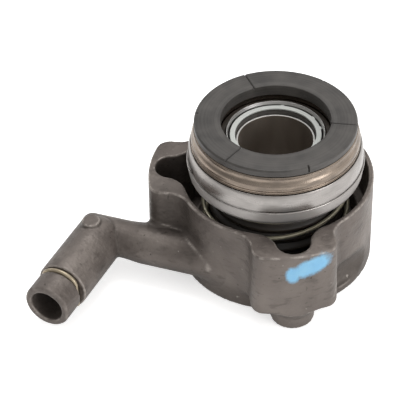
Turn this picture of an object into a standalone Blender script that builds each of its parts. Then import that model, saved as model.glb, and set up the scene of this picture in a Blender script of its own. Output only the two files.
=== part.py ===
"""Concentric slave cylinder for a clutch: a die-cast housing with a fluid arm, an annular piston
on a steel guide tube, and a release bearing that the piston pushes up the gearbox input shaft.

Metres, +Z up along the bore. The base face that bolts to the gearbox lies on z = 0.
The piston is modelled at the top of its stroke, where the preload spring holds it.
"""
import math

import bmesh
import bpy
import numpy as np
from mathutils import Matrix, Vector

# Clearances
GAP = 0.0003              # between pieces that touch on the real part
SEAT_GAP = 0.0003         # below and above pieces stacked along the bore
STOP_GAP = 0.0010         # left above the cylinder mouth when the piston is fully back

# Guide tube, chamber and piston, from the bore outwards
TUBE_BORE_R = 0.0137      # inside of the guide tube
TUBE_WALL = 0.0008        # sheet steel
TUBE_R = TUBE_BORE_R + TUBE_WALL
CHAMBER_WIDTH = 0.0055    # between the guide tube and the bore that the seal runs in
CHAMBER_R = TUBE_R + CHAMBER_WIDTH
CYLINDER_WALL = 0.0020    # casting around the chamber
CYLINDER_R = CHAMBER_R + CYLINDER_WALL
SLEEVE_WALL = 0.0023      # piston sleeve inside the bearing
SLEEVE_R = TUBE_R + SLEEVE_WALL
STROKE = 0.0100           # piston travel

# Release bearing, from the piston sleeve outwards
COLLAR_ROOM = 0.0005      # between the sleeve and the stationary race's collar
COLLAR_BORE_R = SLEEVE_R + COLLAR_ROOM
COLLAR_WALL = 0.0007
COLLAR_R = COLLAR_BORE_R + COLLAR_WALL
INNER_SEAL_WIDTH = 0.0026
ROTOR_BORE_R = COLLAR_R + INNER_SEAL_WIDTH
CONTACT_INSET = 0.0006    # the contact ring's collar lines the turning race
CONTACT_BORE_R = ROTOR_BORE_R - CONTACT_INSET
CONTACT_WIDTH = 0.0097
CONTACT_R = CONTACT_BORE_R + CONTACT_WIDTH
CONTACT_COLLAR_WALL = 0.0009
CONTACT_SHOULDER = 0.0008
ROTOR_TOP_EDGE = 0.0003   # the turning race stands out under the contact ring
ROTOR_TOP_R = CONTACT_R + ROTOR_TOP_EDGE
ROTOR_TAPER = 0.0010
ROTOR_R = ROTOR_TOP_R + ROTOR_TAPER
SHELL_WALL = 0.0010
SHELL_BORE_R = ROTOR_R + GAP
SHELL_R = SHELL_BORE_R + SHELL_WALL
RACE_R = SHELL_BORE_R - GAP
SNAP_RING_R = 0.00035     # half of its wire
SNAP_RING_OPEN = 14.0     # degrees between its ends
SNAP_RING_HEADING = 221.0
BALL_OFFSET = 0.0006      # the balls stand this far inside the middle of the races
BALL_CIRCLE_R = (ROTOR_BORE_R + ROTOR_R) / 2 - BALL_OFFSET
BALL_R = 0.0029
BALL_COUNT = 14
GROOVE_R = BALL_R + GAP
CONTACT_TILT = 30.0       # slope of the split between the races
SPLIT_HALF = 0.0009       # half of the slot between the races
CAGE_T = 0.0010
CAGE_RIM = 0.0013         # cage beyond the balls, on each side
CAGE_HALF = BALL_R + CAGE_RIM
OUTER_SEAL_T = 0.0013
OUTER_SEAL_WIDTH = 0.0018
SLIT_WIDTH = 0.0004
SLIT_DEPTH = 0.0010
SLIT_ANGLES = (10.5, 130.5, 250.5)
NOTCH_ANGLES = (70.5, 190.5, 310.5)
NOTCH_LENGTH = 0.0025

# Dust boot, preload spring and its seat, from the cylinder outwards
BOOT_WALL = 0.0008
BOOT_VALLEY_R = CYLINDER_R + GAP + BOOT_WALL
BOOT_FOLD_DEPTH = 0.0021
BOOT_FOLD_R = BOOT_VALLEY_R + BOOT_FOLD_DEPTH
BOOT_FOLDS = 4
BOOT_BEAD = 0.0012
SPRING_WIRE_R = 0.0007
SPRING_ROOM = 0.0011      # between the boot's folds and the spring
SPRING_R = BOOT_FOLD_R + SPRING_ROOM + SPRING_WIRE_R
SPRING_TURNS = 5.4
SPRING_PHASE = -30.0
SPRING_SEAT_T = 0.0008
SPRING_SEAT_LIP = 0.0011  # seat beyond the spring
SPRING_SEAT_R = SPRING_R + SPRING_WIRE_R + SPRING_SEAT_LIP

# Cup of the housing
RIM_Z = 0.0355            # top edge of the cup
CUP_ROOM = 0.0022         # between the bearing and the cup
CUP_R = SHELL_R + CUP_ROOM
CUP_WALL = 0.0019
WALL_R = CUP_R + CUP_WALL
FLOOR_Z = 0.0090          # floor that the preload spring stands on
FOOT_STEP = 0.0035        # the lower wall is thicker by this
FOOT_R = CUP_R - FOOT_STEP
FOOT_WALL_HEIGHT = 0.0070
FOOT_WALL_TOP = FLOOR_Z + FOOT_WALL_HEIGHT
BASE_LIP = 0.0004         # how far the base flange stands out from the wall
BASE_R = WALL_R + BASE_LIP
BASE_LIP_T = 0.0026       # height of the base flange
RIM_EDGE = 0.0004         # broken edge on the rim

# Bolt lobes
LOBE_ANGLES = (89.0, 192.8, 296.6)
BOLT_OFFSET = 0.0024      # bolt axes outside the cup wall
BOLT_CIRCLE_R = WALL_R + BOLT_OFFSET
POCKET_R = 0.0062         # room for the bolt head and socket
POCKET_FLARE = 0.0060     # radius where the pocket opens into the cup
LOBE_WALL = 0.0022        # thinnest wall, outside the pocket
LOBE_REACH = BOLT_CIRCLE_R + POCKET_R + LOBE_WALL
LOBE_SHOULDER = 0.0090    # wall of the lobe beside the pocket
LOBE_HALF = POCKET_R + LOBE_SHOULDER
LOBE_DRAFT = 0.0006       # the lobe is wider by this at its lower end
LOBE_CORNER = 0.0035      # rounded vertical corners
LOBE_ROOT = 0.0040        # fillet into the cup wall
LOBE_BOTTOM = 0.0080      # underside of the lobes
SEAT_THICK = 0.0020       # bolt head's seat above that underside
POCKET_FLOOR = LOBE_BOTTOM + SEAT_THICK
BOLT_HOLE_R = 0.0034      # clears an M6 bolt
FOOT_BOSS_WALL = 0.0046
FOOT_BOSS_R = BOLT_HOLE_R + FOOT_BOSS_WALL

# Side recess under the cup wall
RECESS_ANGLE = 329.0
RECESS_Z = 0.0086
RECESS_HALF = 0.0059      # half height
RECESS_DEPTH = 0.0032
RECESS_LENGTH = 0.0400

# Fluid arm and line socket
ARM_INSET = 0.0088        # arm's axis inside the cup's outer wall
ARM_Y = WALL_R - ARM_INSET
ARM_Z = 0.0120
ARM_R = 0.0072
ARM_REACH = 0.0231        # elbow beyond the cup's outer wall
ELBOW_X = WALL_R + ARM_REACH
ARM_END = 0.0085          # arm beyond the elbow's centre
ARM_END_ROUND = 0.0035
ARM_RELIEF = 0.0033       # clearance of the lobe's underside over the arm
ARM_COLLAR = 0.0008       # thicker root of the arm
ARM_SLIM_LENGTH = 0.0135  # from the elbow to the thicker root
ARM_COLLAR_START = ELBOW_X - ARM_SLIM_LENGTH
SOCKET_HEADING = 263.2    # direction of the line socket, seen from above
SOCKET_LENGTH = 0.0430    # elbow's centre to the mouth
SOCKET_BORE_R = 0.0062    # takes the line's plug-in end
SOCKET_BORE_DEPTH = 0.0220
SOCKET_STEP = 0.0022      # the bore narrows by this, then runs on
SOCKET_STEP_R = SOCKET_BORE_R - SOCKET_STEP
SOCKET_STEP_LENGTH = 0.0060
SOCKET_STEP_DEPTH = SOCKET_BORE_DEPTH + SOCKET_STEP_LENGTH
GROOVE_WALL = 0.0010      # casting under the clip groove
CLIP_GROOVE_R = SOCKET_BORE_R + GROOVE_WALL
GROOVE_DEPTH = 0.0016
NOSE_R = CLIP_GROOVE_R + GROOVE_DEPTH
NOSE_STEP = 0.0008        # the barrel is thicker than the nose
SOCKET_R = NOSE_R + NOSE_STEP
NOSE_LENGTH = 0.0095
CLIP_GROOVE = 0.0024      # width of the groove
MOUTH_EDGE = 0.0012       # rounded lip of the mouth
PAD_R = 0.0034            # flat round pad on the elbow
PAD_HEIGHT = 0.0008       # above the barrel
PAD_TOP = ARM_Z + SOCKET_R + PAD_HEIGHT
PAD_ALONG = 0.0049        # pad's place along the socket
PAD_ASIDE = 0.0017        # pad's place to the side

# Wire clip
CLIP_WIRE_R = 0.00085
CLIP_LEG_INSET = 0.0006   # the legs stand inside the groove's bottom
CLIP_LEG_X = CLIP_GROOVE_R - CLIP_LEG_INSET
CLIP_LEG_DOWN = 0.0062
CLIP_SLOT_ROOM = 0.0010
CLIP_SLOT_DOWN = CLIP_LEG_DOWN + CLIP_SLOT_ROOM

# Heights of the bearing and the piston, from the cup's rim upwards
BEARING_LIFT = 0.0025     # underside of the bearing above the rim, piston extended
SHELL_BOTTOM = RIM_Z + BEARING_LIFT
SHELL_HEIGHT = 0.0126
SHELL_TOP = SHELL_BOTTOM + SHELL_HEIGHT
PLATE_T = 0.0009
SNAP_RING_HEIGHT = 0.0050
SNAP_RING_Z = SHELL_BOTTOM + SNAP_RING_HEIGHT
BALL_HEIGHT = 0.0080
BALL_Z = SHELL_BOTTOM + BALL_HEIGHT
ROTOR_HEIGHT = 0.0070     # turning race above the shell
ROTOR_TOP = SHELL_TOP + ROTOR_HEIGHT
ROTOR_SHOULDER = 0.0017   # straight part above the shell
ROTOR_SHOULDER_Z = SHELL_TOP + ROTOR_SHOULDER
CONTACT_T = 0.0030
CONTACT_TOP = ROTOR_TOP + CONTACT_T
CONTACT_COLLAR_LENGTH = 0.0014
CONTACT_COLLAR_BOTTOM = ROTOR_TOP - CONTACT_COLLAR_LENGTH
COLLAR_DROP = 0.0026      # collar of the stationary race below the turning race's top
COLLAR_TOP = ROTOR_TOP - COLLAR_DROP
SLEEVE_DROP = 0.0020      # piston sleeve below the collar
SLEEVE_TOP = COLLAR_TOP - SLEEVE_DROP
TUBE_DROP = 0.0016        # guide tube below the sleeve
TUBE_TOP = SLEEVE_TOP - TUBE_DROP
RACE_BOTTOM = SHELL_BOTTOM + PLATE_T + SEAT_GAP
SEAT_TOP = SHELL_BOTTOM - SEAT_GAP
SEAT_BOTTOM = SEAT_TOP - SPRING_SEAT_T
CYLINDER_TOP = SHELL_BOTTOM - STROKE - STOP_GAP
BOOT_LIFT = 0.0060        # boot's lower bead above the floor
BOOT_BASE_Z = FLOOR_Z + BOOT_LIFT

# Piston, its seal and the ring on top
PISTON_SHOULDER = SHELL_BOTTOM - SEAT_GAP
SEAL_HEIGHT = 0.0040
SEAL_BACK_T = 0.0012
SEAL_LOW_Z = 0.0090       # underside of the seal with the piston fully back
SEAL_Z = SEAL_LOW_Z + STROKE
SEAL_BACK_Z = SEAL_Z + SEAL_HEIGHT + SEAT_GAP
PISTON_BOTTOM = SEAL_BACK_Z + SEAL_BACK_T + SEAT_GAP
RETAINER_T = 0.0010
RETAINER_ROOM = 0.0008    # between the ring and the collar around it
RETAINER_R = COLLAR_BORE_R - RETAINER_ROOM
LUG_ANGLES = (29.1, 51.5, 98.5)
LUG_WIDTH = 0.0014

# Flared foot of the guide tube, input-shaft seal and O-rings
TUBE_FLARE = 0.0037       # how far the foot flares out
TUBE_FOOT_R = TUBE_R + TUBE_FLARE
TUBE_FLANGE_Z = 0.0006
TUBE_FOOT_HEIGHT = 0.0056
TUBE_FOOT_TOP = TUBE_FLANGE_Z + TUBE_FOOT_HEIGHT
TUBE_NECK = 0.0022
TUBE_NECK_Z = TUBE_FOOT_TOP + TUBE_NECK
TUBE_FLANGE_LIP = 0.0040  # flange beyond the chamber
TUBE_FLANGE_R = CHAMBER_R + TUBE_FLANGE_LIP
TUBE_RING_R = (CHAMBER_R + TUBE_FLANGE_R) / 2
TUBE_RING_SECTION = 0.0008
BASE_RING_OFFSET = 0.0037 # O-ring in the base face, outside the flange
BASE_RING_R = TUBE_FLANGE_R + BASE_RING_OFFSET
BASE_RING_SECTION = 0.0009
SHAFT_LIP_STEP = 0.0015   # the seal's lip stands inside the tube's bore
SHAFT_LIP_R = TUBE_BORE_R - SHAFT_LIP_STEP
SHAFT_SEAL_T = 0.0008
SHAFT_SEAL_BOTTOM = 0.0012
GARTER_R = 0.0005

# Fluid passage and its plugs
PASSAGE_R = 0.0018
RISER_CIRCLE_R = (BASE_RING_R + BASE_RING_SECTION + BASE_R) / 2
RISER_X = math.sqrt(RISER_CIRCLE_R ** 2 - ARM_Y ** 2)
RISER_R = 0.0015
PORT_R = 0.0012
PORT_Z = 0.0036
PORT_JOIN_Z = 0.0065
ELBOW_BALL_R = 0.0022
BASE_BALL_R = 0.0019

# Facets
STEPS_OUTER = 36
STEPS_INNER = 24
STEPS_HOUSING = 44
STEPS_ARM = 20

# Place of the line socket
HEADING = math.radians(SOCKET_HEADING)
SOCKET_AXIS = Vector((math.cos(HEADING), math.sin(HEADING), 0.0))
ELBOW = Vector((-ELBOW_X, -ARM_Y, ARM_Z))
MOUTH = ELBOW + SOCKET_AXIS * SOCKET_LENGTH
NOSE_EDGE = ELBOW + SOCKET_AXIS * (SOCKET_LENGTH - MOUTH_EDGE)
BARREL_START = NOSE_LENGTH + CLIP_GROOVE
BARREL_EDGE = ELBOW + SOCKET_AXIS * (SOCKET_LENGTH - BARREL_START)

# The origin is the middle of the outline's box, on the base face, so the bore axis stands off it.
NOSE_LEFT = NOSE_EDGE.x - NOSE_R * abs(SOCKET_AXIS.y)
BARREL_LEFT = BARREL_EDGE.x - SOCKET_R * abs(SOCKET_AXIS.y)
OUTLINE_LEFT = min(NOSE_LEFT, BARREL_LEFT)
OUTLINE_RIGHT = BASE_R
OUTLINE_FRONT = MOUTH.y - (NOSE_R - MOUTH_EDGE) * abs(SOCKET_AXIS.x)
OUTLINE_BACK = LOBE_REACH + LOBE_DRAFT
AXIS_X = -(OUTLINE_LEFT + OUTLINE_RIGHT) / 2
AXIS_Y = -(OUTLINE_FRONT + OUTLINE_BACK) / 2

for old in list(bpy.data.objects):
    bpy.data.objects.remove(old)

PART = bpy.data.collections.new("concentric_slave_cylinder")
CUTTERS = bpy.data.collections.new("cutters")
for group in (PART, CUTTERS):
    bpy.context.scene.collection.children.link(group)


def empty(name, place):
    """An empty that carries pieces on their axis."""
    item = bpy.data.objects.new(name, None)
    item.location = place
    item.empty_display_size = STROKE
    PART.objects.link(item)
    return item


BORE_AXIS = empty("bore_axis", (AXIS_X, AXIS_Y, 0.0))
PISTON_AXIS = empty("piston_axis", (AXIS_X, AXIS_Y, 0.0))
ROTOR_AXIS = empty("rotor_axis", (AXIS_X, AXIS_Y, BALL_Z))
SOCKET_FRAME = empty("socket_axis", (AXIS_X + MOUTH.x, AXIS_Y + MOUTH.y, MOUTH.z))


def material(name, colour, roughness, metallic):
    """A plain surface finish."""
    finish = bpy.data.materials.new(name)
    finish.use_nodes = True
    shader = finish.node_tree.nodes["Principled BSDF"]
    shader.inputs["Base Color"].default_value = (*colour, 1.0)
    shader.inputs["Roughness"].default_value = roughness
    shader.inputs["Metallic"].default_value = metallic
    return finish


CAST = material("die_cast_alloy", (0.13, 0.115, 0.10), 0.55, 0.6)
TUBE_STEEL = material("drawn_steel", (0.20, 0.20, 0.19), 0.35, 1.0)
SHELL_STEEL = material("pressed_steel", (0.55, 0.54, 0.53), 0.30, 1.0)
RACE_STEEL = material("ground_steel", (0.50, 0.49, 0.47), 0.20, 1.0)
STRAW_STEEL = material("heat_tinted_steel", (0.22, 0.18, 0.14), 0.35, 1.0)
BALL_STEEL = material("polished_steel", (0.60, 0.60, 0.60), 0.10, 1.0)
SPRING_STEEL = material("zinc_plated_wire", (0.45, 0.42, 0.32), 0.35, 1.0)
CLIP_STEEL = material("clip_wire", (0.50, 0.44, 0.33), 0.35, 1.0)
BLACK_PLASTIC = material("black_plastic", (0.085, 0.08, 0.075), 0.50, 0.0)
GREY_PLASTIC = material("pale_plastic", (0.55, 0.56, 0.55), 0.45, 0.0)
PISTON_PLASTIC = material("piston_plastic", (0.10, 0.10, 0.10), 0.50, 0.0)
CAGE_PLASTIC = material("cage_plastic", (0.35, 0.28, 0.18), 0.50, 0.0)
RUBBER = material("rubber", (0.02, 0.018, 0.016), 0.60, 0.0)


def add(name, data, collection, parent, finish=None):
    """Put a mesh or curve in the scene under its parent empty."""
    item = bpy.data.objects.new(name, data)
    collection.objects.link(item)
    item.parent = parent
    if finish is not None:
        data.materials.append(finish)
    if collection is CUTTERS:
        item.hide_render = True
        item.display_type = "WIRE"
    return item


def turned(name, profile, steps, collection, parent, finish=None, lift=0.0):
    """Turn a closed (radius, height) profile, listed down its outer side and up its inner side."""
    mesh = bpy.data.meshes.new(name)
    points = [(radius, 0.0, height - lift) for radius, height in profile]
    edges = [(i, (i + 1) % len(points)) for i in range(len(points))]
    mesh.from_pydata(points, edges, [])
    item = add(name, mesh, collection, parent, finish)
    screw = item.modifiers.new("turn", "SCREW")
    screw.axis = "Z"
    screw.angle = math.tau
    screw.steps = steps
    screw.render_steps = steps
    screw.use_merge_vertices = True
    screw.merge_threshold = 0.00001
    screw.use_smooth_shade = True
    return item


def spun_solid(profile, steps, place):
    """A solid of revolution with closed ends, from (distance, radius) pairs along +X, as a mesh."""
    mesh = bpy.data.meshes.new("spun")
    form = bmesh.new()
    turns = np.linspace(0.0, math.tau, steps, endpoint=False)
    rings = []
    for along, radius in profile:
        ring = [form.verts.new((along, radius * math.cos(t), radius * math.sin(t))) for t in turns]
        rings.append(ring)
    for first, second in zip(rings, rings[1:]):
        for i in range(steps):
            j = (i + 1) % steps
            form.faces.new((first[i], second[i], second[j], first[j]))
    form.faces.new(rings[0])
    form.faces.new(list(reversed(rings[-1])))
    bmesh.ops.recalc_face_normals(form, faces=form.faces)
    bmesh.ops.transform(form, matrix=place, verts=form.verts)
    form.to_mesh(mesh)
    form.free()
    mesh.shade_smooth()
    mesh.set_sharp_from_angle(angle=math.radians(35))
    return mesh


def drum(radius, low, high, steps, centre=(0.0, 0.0)):
    """An upright cylinder as a mesh."""
    mesh = bpy.data.meshes.new("drum")
    form = bmesh.new()
    place = Matrix.Translation((centre[0], centre[1], (low + high) / 2))
    bmesh.ops.create_cone(
        form, cap_ends=True, segments=steps, radius1=radius, radius2=radius, depth=high - low, matrix=place)
    form.to_mesh(mesh)
    form.free()
    mesh.shade_smooth()
    mesh.set_sharp_from_angle(angle=math.radians(35))
    return mesh


def prism(outline, low, high, grow=0.0):
    """A flat outline raised from low to high; grow moves the lower edge outwards, as draft."""
    mesh = bpy.data.meshes.new("prism")
    form = bmesh.new()
    face = form.faces.new([form.verts.new((x, y, high)) for x, y in outline])
    middle = face.calc_center_median()
    lower = bmesh.ops.extrude_face_region(form, geom=[face])["geom"]
    for vert in [item for item in lower if isinstance(item, bmesh.types.BMVert)]:
        away = Vector((vert.co.x - middle.x, vert.co.y - middle.y, 0.0))
        vert.co.z = low
        if away.length > 0.0:
            vert.co += away.normalized() * grow
    bmesh.ops.recalc_face_normals(form, faces=form.faces)
    form.to_mesh(mesh)
    form.free()
    mesh.shade_smooth()
    mesh.set_sharp_from_angle(angle=math.radians(35))
    return mesh


def arc(centre, radius, start, end, count):
    """Points on an arc, angles in degrees."""
    angles = np.radians(np.linspace(start, end, count))
    return [(centre[0] + radius * math.cos(a), centre[1] + radius * math.sin(a)) for a in angles]


def join(target, other, operation):
    """Boolean the other object into the target, keeping the modifier live."""
    cut = target.modifiers.new(other.name, "BOOLEAN")
    cut.operation = operation
    cut.object = other
    cut.solver = "EXACT"


def heading(degrees):
    """Rotation about the bore axis."""
    return Matrix.Rotation(math.radians(degrees), 4, "Z")


def along(start, end):
    """Matrix that lays +X from start towards end."""
    direction = Vector(end) - Vector(start)
    return Matrix.Translation(start) @ direction.to_track_quat("X", "Z").to_matrix().to_4x4()


def solid_rod(radius, start, end, steps=12):
    """A plain round bar between two points."""
    length = (Vector(end) - Vector(start)).length
    return spun_solid([(0.0, radius), (length, radius)], steps, along(start, end))


def wire(name, points, radius, sides, collection, parent, finish):
    """A round wire through a list of points."""
    curve = bpy.data.curves.new(name, "CURVE")
    curve.dimensions = "3D"
    curve.bevel_depth = radius
    curve.bevel_resolution = sides
    curve.use_fill_caps = True
    spline = curve.splines.new("POLY")
    spline.points.add(len(points) - 1)
    for point, place in zip(spline.points, points):
        point.co = (*place, 1.0)
        point.radius = 1.0
    return add(name, curve, collection, parent, finish)


def lobe_outline():
    """Half of a bolt lobe's plan, pointing along +X: outer arc, corner, side and root fillet."""
    corner_y = LOBE_HALF - LOBE_CORNER
    corner_x = math.sqrt((LOBE_REACH - LOBE_CORNER) ** 2 - corner_y ** 2)
    corner_angle = math.degrees(math.atan2(corner_y, corner_x))
    root_y = LOBE_HALF + LOBE_ROOT
    root_x = math.sqrt((WALL_R + LOBE_ROOT) ** 2 - root_y ** 2)
    root_angle = math.degrees(math.atan2(root_y, root_x))
    inside = CUP_R * 0.9
    half = arc((0.0, 0.0), LOBE_REACH, 0.0, corner_angle, 4)[:-1]
    half += arc((corner_x, corner_y), LOBE_CORNER, corner_angle, 90.0, 5)
    half += arc((root_x, root_y), LOBE_ROOT, 270.0, 180.0 + root_angle, 4)
    half.append((inside * math.cos(math.radians(root_angle)), inside * math.sin(math.radians(root_angle))))
    return half


def mirrored(half):
    """Close a half outline across the X axis."""
    other = [(x, -y) for x, y in reversed(half) if y > 1e-9]
    return half + other


def pocket_outline():
    """Half of a bolt pocket's plan: round tip, then a flare that runs tangent to the cup wall."""
    flare_y = POCKET_R + POCKET_FLARE
    flare_x = math.sqrt((CUP_R + POCKET_FLARE) ** 2 - flare_y ** 2)
    flare_angle = math.degrees(math.atan2(flare_y, flare_x))
    inside = FOOT_R * 0.92
    half = arc((BOLT_CIRCLE_R, 0.0), POCKET_R, 0.0, 90.0, 6)
    half += arc((flare_x, flare_y), POCKET_FLARE, 270.0, 180.0 + flare_angle, 5)
    half.append((inside, half[-1][1]))
    return half


def cast_body():
    """Lower block, cup wall and cylinder as one turned blank, still solid inside."""
    flange_room = TUBE_FLANGE_R + GAP + 0.0001
    roof = TUBE_FLANGE_Z + TUBE_WALL + GAP
    ring_low = TUBE_RING_R - TUBE_RING_SECTION - GAP
    ring_high = TUBE_RING_R + TUBE_RING_SECTION + GAP
    ring_top = roof + 2 * TUBE_RING_SECTION + GAP
    base_low = BASE_RING_R - BASE_RING_SECTION - GAP
    base_high = BASE_RING_R + BASE_RING_SECTION + GAP
    base_top = 2 * BASE_RING_SECTION + 2 * GAP
    profile = [
        (WALL_R - RIM_EDGE, RIM_Z), (WALL_R, RIM_Z - RIM_EDGE), (WALL_R, BASE_LIP_T + BASE_LIP),
        (BASE_R, BASE_LIP_T), (BASE_R, 0.0),
        (base_high, 0.0), (base_high, base_top), (base_low, base_top), (base_low, 0.0),
        (flange_room, 0.0), (flange_room, roof),
        (ring_high, roof), (ring_high, ring_top), (ring_low, ring_top), (ring_low, roof),
        (CHAMBER_R, roof), (CHAMBER_R, RIM_Z)]
    return turned("housing", profile, STEPS_HOUSING, PART, BORE_AXIS, CAST)


def add_recess(housing):
    """Shallow side recess that starts at a lobe and runs out where the wall curves away."""
    turn = math.radians(RECESS_ANGLE)
    middle = Vector((WALL_R * math.cos(turn), WALL_R * math.sin(turn), RECESS_Z))
    squash = Matrix.Diagonal((1.0, RECESS_DEPTH / RECESS_HALF, 1.0, 1.0))
    place = Matrix.Translation(middle) @ heading(RECESS_ANGLE + 90.0) @ squash
    half = RECESS_LENGTH / 2
    mesh = spun_solid([(-half, RECESS_HALF), (half, RECESS_HALF)], 20, place)
    join(housing, add("recess", mesh, CUTTERS, BORE_AXIS), "DIFFERENCE")


def add_lobes(housing):
    """Three bolt lobes on the cup wall, each over a round foot that reaches the base face."""
    relief_r = ARM_R + ARM_RELIEF
    relief_low = -(ELBOW_X + ARM_END)
    relief = [(relief_low, relief_r), (-CUP_R - relief_r / 2, relief_r)]
    for share in (0.35, 0.7, 0.95):
        relief.append((relief[1][0] + share * relief_r, relief_r * math.sqrt(1.0 - share ** 2)))
    relief_mesh = spun_solid(relief, STEPS_ARM, Matrix.Translation((0.0, -ARM_Y, ARM_Z)))
    relief_cutter = add("arm_relief", relief_mesh, CUTTERS, BORE_AXIS)
    outline = mirrored(lobe_outline())
    for number, angle in enumerate(LOBE_ANGLES):
        mesh = prism(outline, LOBE_BOTTOM, RIM_Z, LOBE_DRAFT)
        mesh.transform(heading(angle))
        lobe = add("lobe_%d" % (number + 1), mesh, CUTTERS, BORE_AXIS)
        if number == 1:
            join(lobe, relief_cutter, "DIFFERENCE")
        join(housing, lobe, "UNION")
        turn = math.radians(angle)
        centre = (BOLT_CIRCLE_R * math.cos(turn), BOLT_CIRCLE_R * math.sin(turn))
        boss = drum(FOOT_BOSS_R, 0.0, POCKET_FLOOR, 24, centre)
        join(housing, add("foot_boss_%d" % (number + 1), boss, CUTTERS, BORE_AXIS), "UNION")


def add_arm(housing):
    """Arm that runs along the front of the cup, its elbow, the pad on it and the line socket."""
    place = Matrix.Translation((0.0, -ARM_Y, ARM_Z))
    end = -(ELBOW_X + ARM_END)
    arm = [(end, ARM_R - ARM_END_ROUND)]
    for degrees in (30.0, 60.0, 90.0):
        turn = math.radians(degrees)
        place_x = end + ARM_END_ROUND * (1.0 - math.cos(turn))
        arm.append((place_x, ARM_R - ARM_END_ROUND * (1.0 - math.sin(turn))))
    collar_r = ARM_R + ARM_COLLAR
    arm += [
        (-ARM_COLLAR_START, ARM_R), (-ARM_COLLAR_START + ARM_COLLAR, collar_r),
        (-RISER_X + collar_r, collar_r)]
    join(housing, add("arm", spun_solid(arm, STEPS_ARM, place), CUTTERS, BORE_AXIS), "UNION")

    barrel = [(0.0, NOSE_R - MOUTH_EDGE)]
    for degrees in (45.0, 90.0):
        turn = math.radians(degrees)
        barrel.append((MOUTH_EDGE * (1.0 - math.cos(turn)), NOSE_R - MOUTH_EDGE * (1.0 - math.sin(turn))))
    barrel += [
        (NOSE_LENGTH, NOSE_R), (NOSE_LENGTH, CLIP_GROOVE_R), (BARREL_START, CLIP_GROOVE_R),
        (BARREL_START, SOCKET_R), (SOCKET_LENGTH - ARM_R / 2, SOCKET_R),
        (SOCKET_LENGTH, SOCKET_R * 0.88), (SOCKET_LENGTH + ARM_R / 2, SOCKET_R * 0.55)]
    mesh = spun_solid(barrel, STEPS_ARM, along(MOUTH, ELBOW))
    join(housing, add("socket_barrel", mesh, CUTTERS, BORE_AXIS), "UNION")

    aside = Vector((-SOCKET_AXIS.y, SOCKET_AXIS.x, 0.0))
    pad_centre = ELBOW + SOCKET_AXIS * PAD_ALONG - aside * PAD_ASIDE
    pad = drum(PAD_R, ARM_Z, PAD_TOP, 20, (pad_centre.x, pad_centre.y))
    join(housing, add("elbow_pad", pad, CUTTERS, BORE_AXIS), "UNION")


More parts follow.
